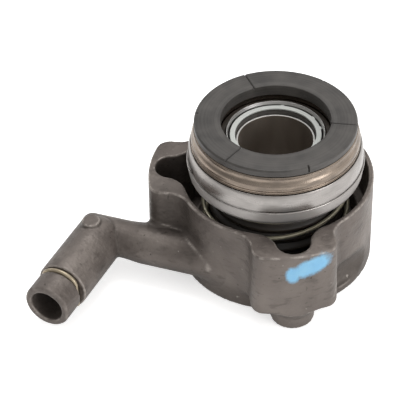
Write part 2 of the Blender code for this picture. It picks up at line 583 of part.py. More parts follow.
def open_housing(housing):
    """Cut the cup, the bolt pockets, the line socket, the clip slots and the fluid passage."""
    above = RIM_Z + CUP_WALL
    room = [
        (CUP_R + RIM_EDGE + CUP_WALL, above), (CUP_R, RIM_Z - RIM_EDGE), (CUP_R, FOOT_WALL_TOP + CUP_WALL),
        (FOOT_R, FOOT_WALL_TOP), (FOOT_R, FLOOR_Z), (CYLINDER_R, FLOOR_Z), (CYLINDER_R, CYLINDER_TOP),
        (CHAMBER_R + RIM_EDGE, CYLINDER_TOP), (CHAMBER_R - RIM_EDGE, CYLINDER_TOP - 2 * RIM_EDGE),
        (CHAMBER_R - RIM_EDGE, above)]
    join(housing, turned("cup_room", room, STEPS_HOUSING, CUTTERS, BORE_AXIS), "DIFFERENCE")

    outline = mirrored(pocket_outline())
    for number, angle in enumerate(LOBE_ANGLES):
        pocket = prism(outline, POCKET_FLOOR, above)
        pocket.transform(heading(angle))
        join(housing, add("pocket_%d" % (number + 1), pocket, CUTTERS, BORE_AXIS), "DIFFERENCE")
        turn = math.radians(angle)
        centre = (BOLT_CIRCLE_R * math.cos(turn), BOLT_CIRCLE_R * math.sin(turn))
        hole = drum(BOLT_HOLE_R, -POCKET_FLOOR, 2 * POCKET_FLOOR, 16, centre)
        join(housing, add("bolt_hole_%d" % (number + 1), hole, CUTTERS, BORE_AXIS), "DIFFERENCE")

    outside = -MOUTH_EDGE
    bore = [
        (outside, SOCKET_BORE_R + MOUTH_EDGE), (MOUTH_EDGE / 2, SOCKET_BORE_R),
        (SOCKET_BORE_DEPTH, SOCKET_BORE_R), (SOCKET_BORE_DEPTH, SOCKET_STEP_R),
        (SOCKET_STEP_DEPTH, SOCKET_STEP_R), (SOCKET_STEP_DEPTH + SOCKET_STEP_R, PASSAGE_R),
        (SOCKET_LENGTH, PASSAGE_R)]
    mesh = spun_solid(bore, STEPS_ARM, along(MOUTH, ELBOW))
    join(housing, add("socket_bore", mesh, CUTTERS, BORE_AXIS), "DIFFERENCE")

    aside = Vector((-SOCKET_AXIS.y, SOCKET_AXIS.x, 0.0))
    slot_half = CLIP_WIRE_R + 2 * GAP
    for side in (-1, 1):
        mesh = bpy.data.meshes.new("slot")
        form = bmesh.new()
        bmesh.ops.create_cube(form, size=1.0)
        size = Matrix.Diagonal((CLIP_GROOVE - GAP / 2, 2 * slot_half, CLIP_GROOVE_R + CLIP_SLOT_DOWN, 1.0))
        middle = MOUTH - SOCKET_AXIS * (NOSE_LENGTH + CLIP_GROOVE / 2) + aside * side * CLIP_LEG_X
        middle.z += (CLIP_GROOVE_R - CLIP_SLOT_DOWN) / 2
        bmesh.ops.transform(form, matrix=Matrix.Translation(middle) @ heading(SOCKET_HEADING) @ size,
                            verts=form.verts)
        form.to_mesh(mesh)
        form.free()
        join(housing, add("clip_slot_%d" % (side + 2), mesh, CUTTERS, BORE_AXIS), "DIFFERENCE")

    end = -(ELBOW_X + ARM_END)
    ball_room = ELBOW_BALL_R + GAP
    passage = [
        (end - ARM_END, ball_room), (end + 2 * ball_room, ball_room),
        (end + 2 * ball_room + ball_room - PASSAGE_R, PASSAGE_R), (-RISER_X, PASSAGE_R)]
    mesh = spun_solid(passage, 12, Matrix.Translation((0.0, -ARM_Y, ARM_Z)))
    join(housing, add("arm_passage", mesh, CUTTERS, BORE_AXIS), "DIFFERENCE")

    ball_room = BASE_BALL_R + GAP
    riser = [
        (-ball_room, ball_room), (2 * ball_room, ball_room),
        (2 * ball_room + ball_room - RISER_R, RISER_R), (ARM_Z, RISER_R)]
    foot = Vector((-RISER_X, -ARM_Y, 0.0))
    mesh = spun_solid(riser, 12, along(foot, foot + Vector((0.0, 0.0, 1.0))))
    join(housing, add("riser", mesh, CUTTERS, BORE_AXIS), "DIFFERENCE")

    reach = (CHAMBER_R - CYLINDER_WALL / 2) / math.hypot(RISER_X, ARM_Y)
    inner = Vector((-RISER_X * reach, -ARM_Y * reach, PORT_Z))
    port = solid_rod(PORT_R, inner, (-RISER_X, -ARM_Y, PORT_JOIN_Z), 10)
    join(housing, add("port", port, CUTTERS, BORE_AXIS), "DIFFERENCE")


def make_housing():
    """The die-cast housing, one piece."""
    housing = cast_body()
    add_recess(housing)
    add_lobes(housing)
    add_arm(housing)
    open_housing(housing)


def make_guide_tube():
    """Deep-drawn steel tube: rolled top edge, flared foot and the flange that closes the chamber."""
    foot_bore = TUBE_FOOT_R - TUBE_WALL
    flange_top = TUBE_FLANGE_Z + TUBE_WALL
    edge = TUBE_WALL / 3
    profile = [
        (TUBE_R, TUBE_TOP - edge), (TUBE_R, TUBE_NECK_Z), (TUBE_FOOT_R, TUBE_FOOT_TOP),
        (TUBE_FOOT_R, flange_top), (TUBE_FLANGE_R, flange_top), (TUBE_FLANGE_R, TUBE_FLANGE_Z),
        (foot_bore, TUBE_FLANGE_Z), (foot_bore, TUBE_FOOT_TOP - TUBE_WALL / 2),
        (TUBE_BORE_R, TUBE_NECK_Z - TUBE_WALL / 2), (TUBE_BORE_R, TUBE_TOP - edge),
        (TUBE_BORE_R + edge, TUBE_TOP), (TUBE_R - edge, TUBE_TOP)]
    turned("guide_tube", profile, STEPS_INNER, PART, BORE_AXIS, TUBE_STEEL)


def ring_section(name, radius, section, height, sides, steps, finish, parent=BORE_AXIS, lift=0.0):
    """A round-section ring, such as an O-ring."""
    profile = arc((radius, height), section, 90.0, 90.0 - 360.0, sides + 1)[:-1]
    turned(name, profile, steps, PART, parent, finish, lift)


def make_base_seals():
    """O-rings of the guide tube and of the base face, and the input-shaft seal in the tube's foot."""
    roof = TUBE_FLANGE_Z + TUBE_WALL + GAP
    tube_ring_z = roof + TUBE_RING_SECTION
    base_ring_z = BASE_RING_SECTION + GAP
    ring_section("tube_o_ring", TUBE_RING_R, TUBE_RING_SECTION, tube_ring_z, 6, STEPS_INNER, RUBBER)
    ring_section("base_o_ring", BASE_RING_R, BASE_RING_SECTION, base_ring_z, 6, STEPS_OUTER, RUBBER)

    case_r = TUBE_FOOT_R - TUBE_WALL - GAP
    case_top = TUBE_FOOT_TOP - TUBE_WALL / 2 - GAP
    case_in = case_r - SHAFT_SEAL_T
    case_hole = (SHAFT_LIP_R + case_r) / 2 - SHAFT_SEAL_T
    profile = [
        (case_r, case_top), (case_r, SHAFT_SEAL_BOTTOM), (case_in, SHAFT_SEAL_BOTTOM),
        (case_in, case_top - SHAFT_SEAL_T), (case_hole, case_top - SHAFT_SEAL_T), (case_hole, case_top)]
    turned("shaft_seal_case", profile, STEPS_INNER, PART, BORE_AXIS, SHELL_STEEL)

    lip_top = case_top - SHAFT_SEAL_T - GAP
    neck_r = SHAFT_LIP_R + SHAFT_SEAL_T
    plate_low = lip_top - SHAFT_SEAL_T
    profile = [
        (case_in - GAP, lip_top), (case_in - GAP, plate_low), (neck_r + SHAFT_SEAL_T, plate_low),
        (neck_r + SHAFT_SEAL_T / 2, SHAFT_SEAL_BOTTOM), (neck_r, SHAFT_SEAL_BOTTOM),
        (SHAFT_LIP_R, SHAFT_SEAL_BOTTOM + SHAFT_SEAL_T), (neck_r - SHAFT_SEAL_T / 4, lip_top)]
    turned("shaft_seal_lip", profile, STEPS_INNER, PART, BORE_AXIS, RUBBER)
    garter_r = neck_r + SHAFT_SEAL_T + GAP + GARTER_R
    garter_z = SHAFT_SEAL_BOTTOM + 2 * GARTER_R
    ring_section("shaft_seal_spring", garter_r, GARTER_R, garter_z, 5, STEPS_INNER, SPRING_STEEL)


def make_piston():
    """Annular piston, the double-lip pressure seal under it and the ring that backs the seal."""
    bore = TUBE_R + GAP
    skirt = CHAMBER_R - GAP - 0.0002
    edge = SEAT_GAP
    profile = [
        (SLEEVE_R - edge, SLEEVE_TOP), (SLEEVE_R, SLEEVE_TOP - edge), (SLEEVE_R, PISTON_SHOULDER),
        (skirt, PISTON_SHOULDER), (skirt, PISTON_BOTTOM + edge), (skirt - edge, PISTON_BOTTOM),
        (bore, PISTON_BOTTOM), (bore, SLEEVE_TOP)]
    turned("piston", profile, STEPS_INNER, PART, PISTON_AXIS, PISTON_PLASTIC)

    seal_out = CHAMBER_R - GAP
    middle = (bore + seal_out) / 2
    lip = SEAL_HEIGHT / 4
    root = SEAL_Z + SEAL_HEIGHT / 2
    tip = SEAL_Z + lip / 3
    top = SEAL_Z + SEAL_HEIGHT
    profile = [
        (seal_out - lip / 2, top), (seal_out - lip / 2, root), (seal_out, tip), (seal_out - lip, SEAL_Z),
        (middle, root), (bore + lip, SEAL_Z), (bore, tip), (bore + lip / 2, root), (bore + lip / 2, top)]
    turned("pressure_seal", profile, STEPS_INNER, PART, PISTON_AXIS, RUBBER)

    top = SEAL_BACK_Z + SEAL_BACK_T
    profile = [(skirt, top), (skirt, SEAL_BACK_Z), (bore, SEAL_BACK_Z), (bore, top)]
    turned("seal_backing_ring", profile, STEPS_INNER, PART, PISTON_AXIS, GREY_PLASTIC)


def make_retaining_ring():
    """Pale ring on top of the piston; its small lugs catch in the bearing's collar."""
    low = SLEEVE_TOP + SEAT_GAP
    top = low + RETAINER_T
    bore = TUBE_R + GAP
    slope = RETAINER_T / 3
    profile = [(RETAINER_R, top), (RETAINER_R, low), (bore, low), (bore, top - slope), (bore + slope, top)]
    ring = turned("retaining_ring", profile, STEPS_OUTER, PART, PISTON_AXIS, GREY_PLASTIC)
    reach = COLLAR_BORE_R - GAP
    root = RETAINER_R - 3 * GAP
    for number, angle in enumerate(LUG_ANGLES):
        half = LUG_WIDTH / 2
        outline = [(root, -half), (reach, -half), (reach, half), (root, half)]
        lug = prism(outline, low + slope, top - slope / 2)
        lug.transform(heading(angle))
        join(ring, add("lug_%d" % (number + 1), lug, CUTTERS, PISTON_AXIS), "UNION")


def make_spring():
    """Preload spring: closed end coils, open coils between, standing on the cup's floor."""
    low = FLOOR_Z + GAP + SPRING_WIRE_R
    high = SEAT_BOTTOM - GAP - SPRING_WIRE_R
    per_turn = 14
    count = int(round(SPRING_TURNS * per_turn)) + 1
    turns = np.linspace(0.0, SPRING_TURNS, count)
    closed = 0.9
    dead = 2 * SPRING_WIRE_R * 1.1
    stations = [0.0, closed, SPRING_TURNS - closed, SPRING_TURNS]
    rise = np.interp(turns, stations, [low, low + dead, high - dead, high])
    angles = np.radians(SPRING_PHASE) + turns * math.tau
    points = [(SPRING_R * math.cos(a), SPRING_R * math.sin(a), z) for a, z in zip(angles, rise)]
    wire("preload_spring", points, SPRING_WIRE_R, 1, PART, BORE_AXIS, SPRING_STEEL)


def make_spring_seat():
    """Pressed washer that carries the spring's upper end under the bearing."""
    inner = CYLINDER_R + 2 * BOOT_WALL
    edge = SPRING_SEAT_T / 3
    profile = [
        (SPRING_SEAT_R, SEAT_TOP - edge), (SPRING_SEAT_R, SEAT_BOTTOM), (inner, SEAT_BOTTOM),
        (inner, SEAT_TOP), (SPRING_SEAT_R - edge, SEAT_TOP)]
    turned("spring_seat", profile, STEPS_INNER, PART, PISTON_AXIS, SHELL_STEEL)


def make_dust_boot():
    """Rubber bellows from the cylinder's outside to the underside of the bearing."""
    inner_r = CYLINDER_R + GAP
    top_bead = CYLINDER_R + 2 * BOOT_WALL - GAP
    fold_low = BOOT_BASE_Z + BOOT_BEAD
    fold_high = SEAT_BOTTOM - BOOT_BEAD
    heights = np.linspace(fold_high, fold_low, 2 * BOOT_FOLDS + 1)
    outside = [(BOOT_FOLD_R if i % 2 else BOOT_VALLEY_R, z) for i, z in enumerate(heights)]
    inside = [(r - BOOT_WALL, z) for r, z in reversed(outside)]
    low_bead = inner_r + 2 * BOOT_WALL
    profile = [(top_bead, SEAT_TOP), (top_bead, SEAT_BOTTOM)] + outside
    profile += [(low_bead, fold_low), (low_bead, BOOT_BASE_Z), (inner_r, BOOT_BASE_Z)]
    profile += inside + [(CHAMBER_R + GAP, SEAT_BOTTOM), (CHAMBER_R + GAP, SEAT_TOP)]
    turned("dust_boot", profile, STEPS_INNER, PART, BORE_AXIS, RUBBER)


def make_shell():
    """Pressed steel shell around the bearing, with its lower plate and the groove of the snap ring."""
    groove = SNAP_RING_R + GAP
    groove_r = SHELL_R - SHELL_WALL / 2
    round_r = SHELL_WALL * 0.9
    bottom_r = SHELL_R - 2 * PLATE_T
    profile = [
        (SHELL_BORE_R + round_r / 2, SHELL_TOP), (SHELL_R - round_r / 3, SHELL_TOP - round_r / 3),
        (SHELL_R, SHELL_TOP - round_r), (SHELL_R, SNAP_RING_Z + groove), (groove_r, SNAP_RING_Z + groove),
        (groove_r, SNAP_RING_Z - groove), (SHELL_R - GAP / 3, SNAP_RING_Z - groove),
        (SHELL_R - PLATE_T, SHELL_BOTTOM + 2 * PLATE_T), (bottom_r, SHELL_BOTTOM),
        (SLEEVE_R + GAP, SHELL_BOTTOM), (SLEEVE_R + GAP, SHELL_BOTTOM + PLATE_T),
        (bottom_r - PLATE_T, SHELL_BOTTOM + PLATE_T), (SHELL_BORE_R, SHELL_BOTTOM + 3 * PLATE_T),
        (SHELL_BORE_R, SHELL_TOP - round_r / 2)]
    turned("bearing_shell", profile, STEPS_OUTER, PART, PISTON_AXIS, SHELL_STEEL)

    radius = groove_r + GAP + SNAP_RING_R
    start = math.radians(SNAP_RING_HEADING + SNAP_RING_OPEN / 2)
    angles = np.linspace(start, start + math.tau - math.radians(SNAP_RING_OPEN), 41)
    points = [(radius * math.cos(a), radius * math.sin(a), SNAP_RING_Z) for a in angles]
    wire("shell_snap_ring", points, SNAP_RING_R, 1, PART, PISTON_AXIS, SHELL_STEEL)


def split_point(distance, offset):
    """A point beside the sloping split between the races, measured from the ball's centre."""
    turn = math.radians(CONTACT_TILT)
    radius = BALL_CIRCLE_R + distance * math.cos(turn) - offset * math.sin(turn)
    return (radius, BALL_Z + distance * math.sin(turn) + offset * math.cos(turn))


def make_races():
    """Stationary race with its polished collar, and the turning race above the balls."""
    open_angle = math.degrees(math.asin(SPLIT_HALF / GROOVE_R))
    centre = (BALL_CIRCLE_R, BALL_Z)
    outer_slope = (RACE_R - BALL_CIRCLE_R) / math.cos(math.radians(CONTACT_TILT))
    step = SPLIT_HALF
    edge = COLLAR_WALL / 3

    groove = arc(centre, GROOVE_R, CONTACT_TILT - open_angle, CONTACT_TILT - 180.0 + open_angle, 7)
    outer_lip = split_point(outer_slope - 2 * step, -step)
    inner_lip = split_point(-(BALL_CIRCLE_R - ROTOR_BORE_R), -step)
    profile = [(RACE_R, outer_lip[1]), (RACE_R, SHELL_BOTTOM + 3 * PLATE_T + GAP)]
    profile += [(SHELL_R - 3 * PLATE_T - GAP, RACE_BOTTOM)]
    profile += [(COLLAR_BORE_R, RACE_BOTTOM), (COLLAR_BORE_R, COLLAR_TOP - edge)]
    profile += [(COLLAR_BORE_R + edge, COLLAR_TOP), (COLLAR_R, COLLAR_TOP - edge)]
    profile += [(COLLAR_R, inner_lip[1]), inner_lip]
    profile += list(reversed(groove)) + [outer_lip]
    turned("stationary_race", profile, STEPS_INNER, PART, PISTON_AXIS, RACE_STEEL)

    groove = arc(centre, GROOVE_R, CONTACT_TILT + open_angle, CONTACT_TILT + 180.0 - open_angle, 7)
    outer_tip = split_point(outer_slope, step + GAP)
    inner_tip = split_point(-(BALL_CIRCLE_R - ROTOR_BORE_R) + step, step)
    collar_r = CONTACT_BORE_R + CONTACT_COLLAR_WALL + GAP
    collar_low = CONTACT_COLLAR_BOTTOM - GAP
    skirt_low = SHELL_TOP + GAP
    skirt_in = ROTOR_R - GAP
    profile = [
        (ROTOR_TOP_R - step / 2, ROTOR_TOP), (ROTOR_TOP_R, ROTOR_TOP - step / 2),
        (ROTOR_R, ROTOR_SHOULDER_Z), (ROTOR_R, skirt_low), (skirt_in, skirt_low),
        (skirt_in, outer_tip[1] + step), (skirt_in - step, outer_tip[1] + step)]
    profile += groove
    profile += [
        inner_tip, (ROTOR_BORE_R, inner_tip[1] + step), (ROTOR_BORE_R, collar_low),
        (collar_r, collar_low), (collar_r, ROTOR_TOP)]
    turned("rotating_race", profile, STEPS_OUTER, PART, ROTOR_AXIS, STRAW_STEEL, BALL_Z)
    return outer_lip[1]


def make_bearing_seals(race_lip):
    """Rubber rings that close the bearing: outside above the stationary race, inside on its collar."""
    low = race_lip + GAP
    top = low + OUTER_SEAL_T
    outer = SHELL_BORE_R - GAP
    inner = outer - OUTER_SEAL_WIDTH
    profile = [(outer, top), (outer, low), (inner, low), (inner, top)]
    turned("bearing_outer_seal", profile, STEPS_OUTER, PART, PISTON_AXIS, RUBBER)

    outer = ROTOR_BORE_R - GAP
    inner = COLLAR_R + GAP
    top = CONTACT_COLLAR_BOTTOM - 8 * GAP
    low = top - 6 * GAP
    thick = 3 * GAP
    profile = [
        (outer, top), (outer, low), (outer - thick, low), (inner + thick / 2, top - thick),
        (inner, top - thick / 2), (inner + thick / 2, top)]
    turned("bearing_inner_seal", profile, STEPS_INNER, PART, ROTOR_AXIS, RUBBER, BALL_Z)


def ball_places():
    """Centres of the balls around the bearing."""
    angles = [math.tau * i / BALL_COUNT for i in range(BALL_COUNT)]
    return [Vector((BALL_CIRCLE_R * math.cos(a), BALL_CIRCLE_R * math.sin(a), 0.0)) for a in angles]


def ball_mesh(radius, places):
    """Round balls of one radius at the given places."""
    mesh = bpy.data.meshes.new("ball")
    form = bmesh.new()
    for place in places:
        middle = Matrix.Translation(place)
        bmesh.ops.create_uvsphere(form, u_segments=8, v_segments=6, radius=radius, matrix=middle)
    form.to_mesh(mesh)
    form.free()
    mesh.shade_smooth()
    return mesh


def make_balls():
    """Steel balls, and the cage that keeps them apart."""
    single = ball_mesh(BALL_R, [Vector((0.0, 0.0, 0.0))])
    single.materials.append(BALL_STEEL)
    for number, place in enumerate(ball_places()):
        ball = add("ball_%02d" % (number + 1), single, PART, ROTOR_AXIS)
        ball.location = place

    half = CAGE_T / 2
    corners = [(CAGE_HALF, half), (CAGE_HALF, -half), (-CAGE_HALF, -half), (-CAGE_HALF, half)]
    profile = [split_point(distance, offset) for distance, offset in corners]
    cage = turned("ball_cage", profile, 2 * BALL_COUNT, PART, ROTOR_AXIS, CAGE_PLASTIC, BALL_Z)
    sides = 8
    place = Matrix.Translation((BALL_CIRCLE_R, 0.0, 0.0))
    place @= Matrix.Rotation(-math.radians(CONTACT_TILT + 90.0), 4, "Y")
    place @= Matrix.Rotation(math.pi / sides, 4, "X")
    window = spun_solid([(-CAGE_HALF, BALL_R + GAP), (CAGE_HALF, BALL_R + GAP)], sides, place)
    for number in range(BALL_COUNT):
        cutter = add("cage_window_%02d" % (number + 1), window, CUTTERS, ROTOR_AXIS)
        cutter.matrix_local = heading(360.0 * number / BALL_COUNT)
        join(cage, cutter, "DIFFERENCE")


def make_contact_ring():
    """Black plastic ring that pushes the clutch fingers: a collar inside, slits across its face."""
    low = ROTOR_TOP + GAP
    collar_r = CONTACT_BORE_R + CONTACT_COLLAR_WALL
    edge = CONTACT_SHOULDER
    profile = [
        (CONTACT_R - edge, CONTACT_TOP), (CONTACT_R, CONTACT_TOP - edge), (CONTACT_R, low),
        (collar_r, low), (collar_r, CONTACT_COLLAR_BOTTOM), (CONTACT_BORE_R, CONTACT_COLLAR_BOTTOM),
        (CONTACT_BORE_R, CONTACT_TOP - edge / 3), (CONTACT_BORE_R + edge / 3, CONTACT_TOP)]
    ring = turned("contact_ring", profile, STEPS_OUTER, PART, ROTOR_AXIS, BLACK_PLASTIC, BALL_Z)
    half = SLIT_WIDTH / 2
    beyond = CONTACT_R + edge
    cuts = [(angle, CONTACT_BORE_R - edge) for angle in SLIT_ANGLES]
    cuts += [(angle, CONTACT_R - NOTCH_LENGTH) for angle in NOTCH_ANGLES]
    for number, (angle, inside) in enumerate(cuts):
        outline = [(inside, -half), (beyond, -half), (beyond, half), (inside, half)]
        slit = prism(outline, CONTACT_TOP - SLIT_DEPTH - BALL_Z, CONTACT_TOP + SLIT_DEPTH - BALL_Z)
        slit.transform(heading(angle))
        join(ring, add("slit_%d" % (number + 1), slit, CUTTERS, ROTOR_AXIS), "DIFFERENCE")


def make_wire_clip():
    """Bent wire that locks the line: a bow over the groove and two legs down its slots."""
    bow_r = CLIP_GROOVE_R + GAP + CLIP_WIRE_R
    spread = math.degrees(math.asin(CLIP_LEG_X / bow_r))
    bow = arc((0.0, 0.0), bow_r, 90.0 + spread, 90.0 - spread, 11)
    shape = [(-CLIP_LEG_X, -CLIP_LEG_DOWN)] + bow + [(CLIP_LEG_X, -CLIP_LEG_DOWN)]
    back = NOSE_LENGTH + CLIP_GROOVE / 2
    aside = Vector((-SOCKET_AXIS.y, SOCKET_AXIS.x, 0.0))
    points = [aside * x + Vector((0.0, 0.0, z)) - SOCKET_AXIS * back for x, z in shape]
    wire("wire_clip", points, CLIP_WIRE_R, 2, PART, SOCKET_FRAME, CLIP_STEEL)


def make_plugs():
    """Steel balls pressed into the drilled ends of the fluid passage."""
    places = {
        "elbow_ball": (Vector((-(ELBOW_X + ARM_END) + ELBOW_BALL_R + GAP, -ARM_Y, ARM_Z)), ELBOW_BALL_R),
        "base_ball": (Vector((-RISER_X, -ARM_Y, BASE_BALL_R + 2 * GAP)), BASE_BALL_R)}
    for name, (place, radius) in places.items():
        mesh = ball_mesh(radius, [Vector((0.0, 0.0, 0.0))])
        plug = add(name, mesh, PART, BORE_AXIS, BALL_STEEL)
        plug.location = place


make_housing()
make_guide_tube()
make_base_seals()
make_piston()
make_retaining_ring()
make_spring()
make_spring_seat()
make_dust_boot()
make_shell()
make_bearing_seals(make_races())
make_balls()
make_contact_ring()
make_wire_clip()
make_plugs()
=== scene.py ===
"""Looks of the concentric slave cylinder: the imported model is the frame, and each piece gets its
final surface and finish here. Sizes in the sections are millimetres, measured from the bore axis
and the base face; they become metres when a mesh is made."""
import math

import bpy
import numpy as np
from mathutils import Matrix, Vector


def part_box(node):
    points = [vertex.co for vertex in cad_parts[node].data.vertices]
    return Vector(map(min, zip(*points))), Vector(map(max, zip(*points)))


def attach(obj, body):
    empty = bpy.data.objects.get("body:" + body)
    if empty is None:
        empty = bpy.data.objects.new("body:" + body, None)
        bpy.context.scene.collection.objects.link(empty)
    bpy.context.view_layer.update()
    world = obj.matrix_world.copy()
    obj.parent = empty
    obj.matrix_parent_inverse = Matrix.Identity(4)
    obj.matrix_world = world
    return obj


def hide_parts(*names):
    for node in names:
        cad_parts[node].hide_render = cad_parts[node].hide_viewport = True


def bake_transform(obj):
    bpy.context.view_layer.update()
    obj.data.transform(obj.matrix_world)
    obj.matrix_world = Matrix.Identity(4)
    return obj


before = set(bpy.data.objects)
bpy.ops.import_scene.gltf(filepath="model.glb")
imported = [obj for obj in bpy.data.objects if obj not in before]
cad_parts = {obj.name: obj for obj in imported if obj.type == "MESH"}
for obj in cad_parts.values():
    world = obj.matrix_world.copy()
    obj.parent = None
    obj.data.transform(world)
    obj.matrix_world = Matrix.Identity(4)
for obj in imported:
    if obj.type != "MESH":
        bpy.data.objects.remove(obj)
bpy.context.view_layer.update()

# Camera: the photograph was taken from the front left, about 41 degrees above the horizon, with
# a long lens 0.65 m away. The guide tube is round about the bore axis, so its box gives the axis.
tube_low, tube_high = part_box("guide_tube")
BORE = np.array([(tube_low.x + tube_high.x) / 2, (tube_low.y + tube_high.y) / 2, 0.0])
ELEVATION = math.radians(40.979)
ROLL = math.radians(1.963)
AZIMUTH = math.radians(20.5)
AIM_RIGHT, AIM_DOWN, DISTANCE, FOCAL_LENGTH = 28.897, 16.410, 650.0, 152.07
forward = np.array([0.0, math.cos(ELEVATION), -math.sin(ELEVATION)])
level = np.array([1.0, 0.0, 0.0])
below = np.cross(forward, level)
picture_right = math.cos(ROLL) * level + math.sin(ROLL) * below
picture_down = -math.sin(ROLL) * level + math.cos(ROLL) * below
swing = np.array(Matrix.Rotation(AZIMUTH, 3, "Z"))
eye = -(AIM_RIGHT * picture_right + AIM_DOWN * picture_down + DISTANCE * forward) / 1000.0
stand = Matrix.Identity(4)
for column, axis in enumerate((picture_right, -picture_down, -forward)):
    stand.col[column][:3] = swing @ axis
stand.col[3][:3] = swing @ eye + BORE
lens = bpy.data.cameras.new("camera")
lens.lens = FOCAL_LENGTH
lens.sensor_width = 36.0
camera = bpy.data.objects.new("camera", lens)
camera.matrix_world = stand
bpy.context.collection.objects.link(camera)
bpy.context.scene.camera = camera
bpy.context.scene.view_settings.view_transform = "Standard"

# Studio: white paper under the base face, a tent around it that is brighter on the right, and soft
# boxes at the sides and above. The floor lies a hair under the part, so the two never share a face.
FLOOR_HALF, FLOOR_DROP = 3.0, 0.0004
floor_mesh = bpy.data.meshes.new("floor")
floor_corners = np.array([(-1, -1, 0), (1, -1, 0), (1, 1, 0), (-1, 1, 0)]) * FLOOR_HALF - (0, 0, FLOOR_DROP)
floor_mesh.from_pydata(floor_corners, [], [(0, 1, 2, 3)])
floor = bpy.data.objects.new("floor", floor_mesh)
bpy.context.collection.objects.link(floor)
paper = bpy.data.materials.new("floor_paper")
paper.use_nodes = True
paper_shader = paper.node_tree.nodes["Principled BSDF"]
paper_shader.inputs["Base Color"].default_value = (0.93, 0.93, 0.93, 1.0)
paper_shader.inputs["Roughness"].default_value = 0.9
paper_shader.inputs["Emission Color"].default_value = (1.0, 1.0, 1.0, 1.0)
lift = paper.node_tree.nodes.new("ShaderNodeMapRange")
lift.inputs["To Min"].default_value, lift.inputs["To Max"].default_value = 0.26, 0.56
straight = paper.node_tree.nodes.new("ShaderNodeLightPath").outputs["Is Camera Ray"]
paper.node_tree.links.new(straight, lift.inputs["Value"])
paper.node_tree.links.new(lift.outputs["Result"], paper_shader.inputs["Emission Strength"])
floor_mesh.materials.append(paper)

TENT_LEFT, TENT_RIGHT = 0.36, 1.14
tent = bpy.data.worlds.new("tent")
tent.use_nodes = True
nodes, links = tent.node_tree.nodes, tent.node_tree.links
nodes["Background"].inputs["Color"].default_value = (1.0, 0.99, 0.975, 1.0)
to_right = nodes.new("ShaderNodeVectorMath")
to_right.operation = "DOT_PRODUCT"
to_right.inputs[1].default_value = stand.col[0][:3]
links.new(nodes.new("ShaderNodeTexCoord").outputs["Generated"], to_right.inputs[0])
brighter = nodes.new("ShaderNodeMapRange")
for socket, number in zip(("From Min", "From Max", "To Min", "To Max"), (-1.0, 1.0, TENT_LEFT, TENT_RIGHT)):
    brighter.inputs[socket].default_value = number
links.new(to_right.outputs["Value"], brighter.inputs["Value"])
links.new(brighter.outputs["Result"], nodes["Background"].inputs["Strength"])
bpy.context.scene.world = tent

SOFT_BOXES = {
    "box_left": ((-0.55, 0.30, 0.34), 0.14, 0.4),
    "box_right": ((0.66, -0.20, 0.34), 0.30, 1.6),
    "box_top": ((-0.05, 0.25, 0.85), 0.45, 2.8)}
for name, (spot, width, power) in SOFT_BOXES.items():
    light = bpy.data.lights.new(name, "AREA")
    light.shape = "SQUARE"
    light.size = width
    light.energy = power
    lamp = bpy.data.objects.new(name, light)
    lamp.location = Vector(spot)
    lamp.rotation_euler = (-Vector(spot)).to_track_quat("-Z", "Y").to_euler()
    bpy.context.collection.objects.link(lamp)


# Housing: one aluminium die casting, shot-blasted and dulled in use. The cup, three bolt lobes on
# foot bosses, the side arm and the angled line socket run into each other with cast fillets; the
# chamber, the bolt holes and the socket's bore are machined into it.
RIM_Z, WALL_R, CUP_R, LEDGE_Z, FOOT_R, FLOOR_Z = 35.5, 36.4, 34.5, 17.0, 31.0, 9.0
CYLINDER_R, CYLINDER_TOP, CHAMBER_R = 22.0, 27.0, 20.0
LOBE_HEADINGS, BOLT_CIRCLE_R = (89.0, 192.8, 296.6), 38.8
LOBE_HALF, LOBE_REACH, LOBE_ROOT, LOBE_BOTTOM, DRAFT = 15.2, 47.2, 5.0, 8.0, 0.022
POCKET_R, POCKET_FLARE, POCKET_FLOOR, BOLT_HOLE_R = 6.2, 6.0, 10.0, 3.4
FOOT_BOSS_R, FOOT_OVERLAP, CAST_FILLET, ARM_FILLET = 8.0, 4.0, 4.0, 2.2
RECESS_HEADING, RECESS_Z, RECESS_HALF, RECESS_DEPTH = 329.0, 8.6, 5.9, 3.2
ARM_Y, ARM_Z, ARM_R, ARM_END, ARM_START = -27.6, 12.0, 7.2, -68.0, -9.0
ARM_COLLAR, ARM_COLLAR_X, COLLAR_EASE = 0.6, -46.0, 8.0
ELBOW_X, SOCKET_HEADING, SOCKET_LENGTH, SOCKET_R = -59.5, math.radians(263.2), 43.0, 9.6
BARREL_BACK, BACK_TAPER, NECK_HALF = 3.6, 1.2, 2.0
NOSE_R, NOSE_START, GROOVE_R, GROOVE_START = 8.8, 33.5, 7.2, 31.1
CLIP_AT, CLIP_LEG, SLOT_HALF, SLOT_DOWN = 32.3, 6.6, 1.15, 7.2
PAD_R, PAD_TOP, PAD_ALONG, PAD_ASIDE = 3.4, 22.4, 4.9, -1.7
SOCKET_BORE_R, SOCKET_DEPTH, SOCKET_STEP_R, SOCKET_STEP_DEPTH = 6.2, 22.0, 4.0, 28.0
FLANGE_SEAT_R, FLANGE_SEAT_TOP, RING_SEAT_R, RING_SEAT_HALF, RING_SEAT_TOP = 24.4, 1.7, 27.7, 1.2, 2.4
ARM_HOLE_R, ARM_HOLE_DEPTH, RISER_HOLE_X, RISER_HOLE_R, RISER_HOLE_TOP = 2.5, 4.6, -17.6, 2.2, 4.4
SOCKET_AXIS = np.array([math.cos(SOCKET_HEADING), math.sin(SOCKET_HEADING), 0.0])


def round_edge(a, b, radius):
    """What solids a and b share, as signed distances: max(a, b), its edge rounded to the radius."""
    over = np.hypot(np.maximum(a + radius, 0.0), np.maximum(b + radius, 0.0))
    return np.minimum(-radius, np.maximum(a, b)) + over


def fillet(a, b, radius):
    """Solids a and b together: min(a, b), with a hollow fillet of the radius where they meet."""
    under = np.hypot(np.maximum(radius - a, 0.0), np.maximum(radius - b, 0.0))
    return np.maximum(radius, np.minimum(a, b)) - under


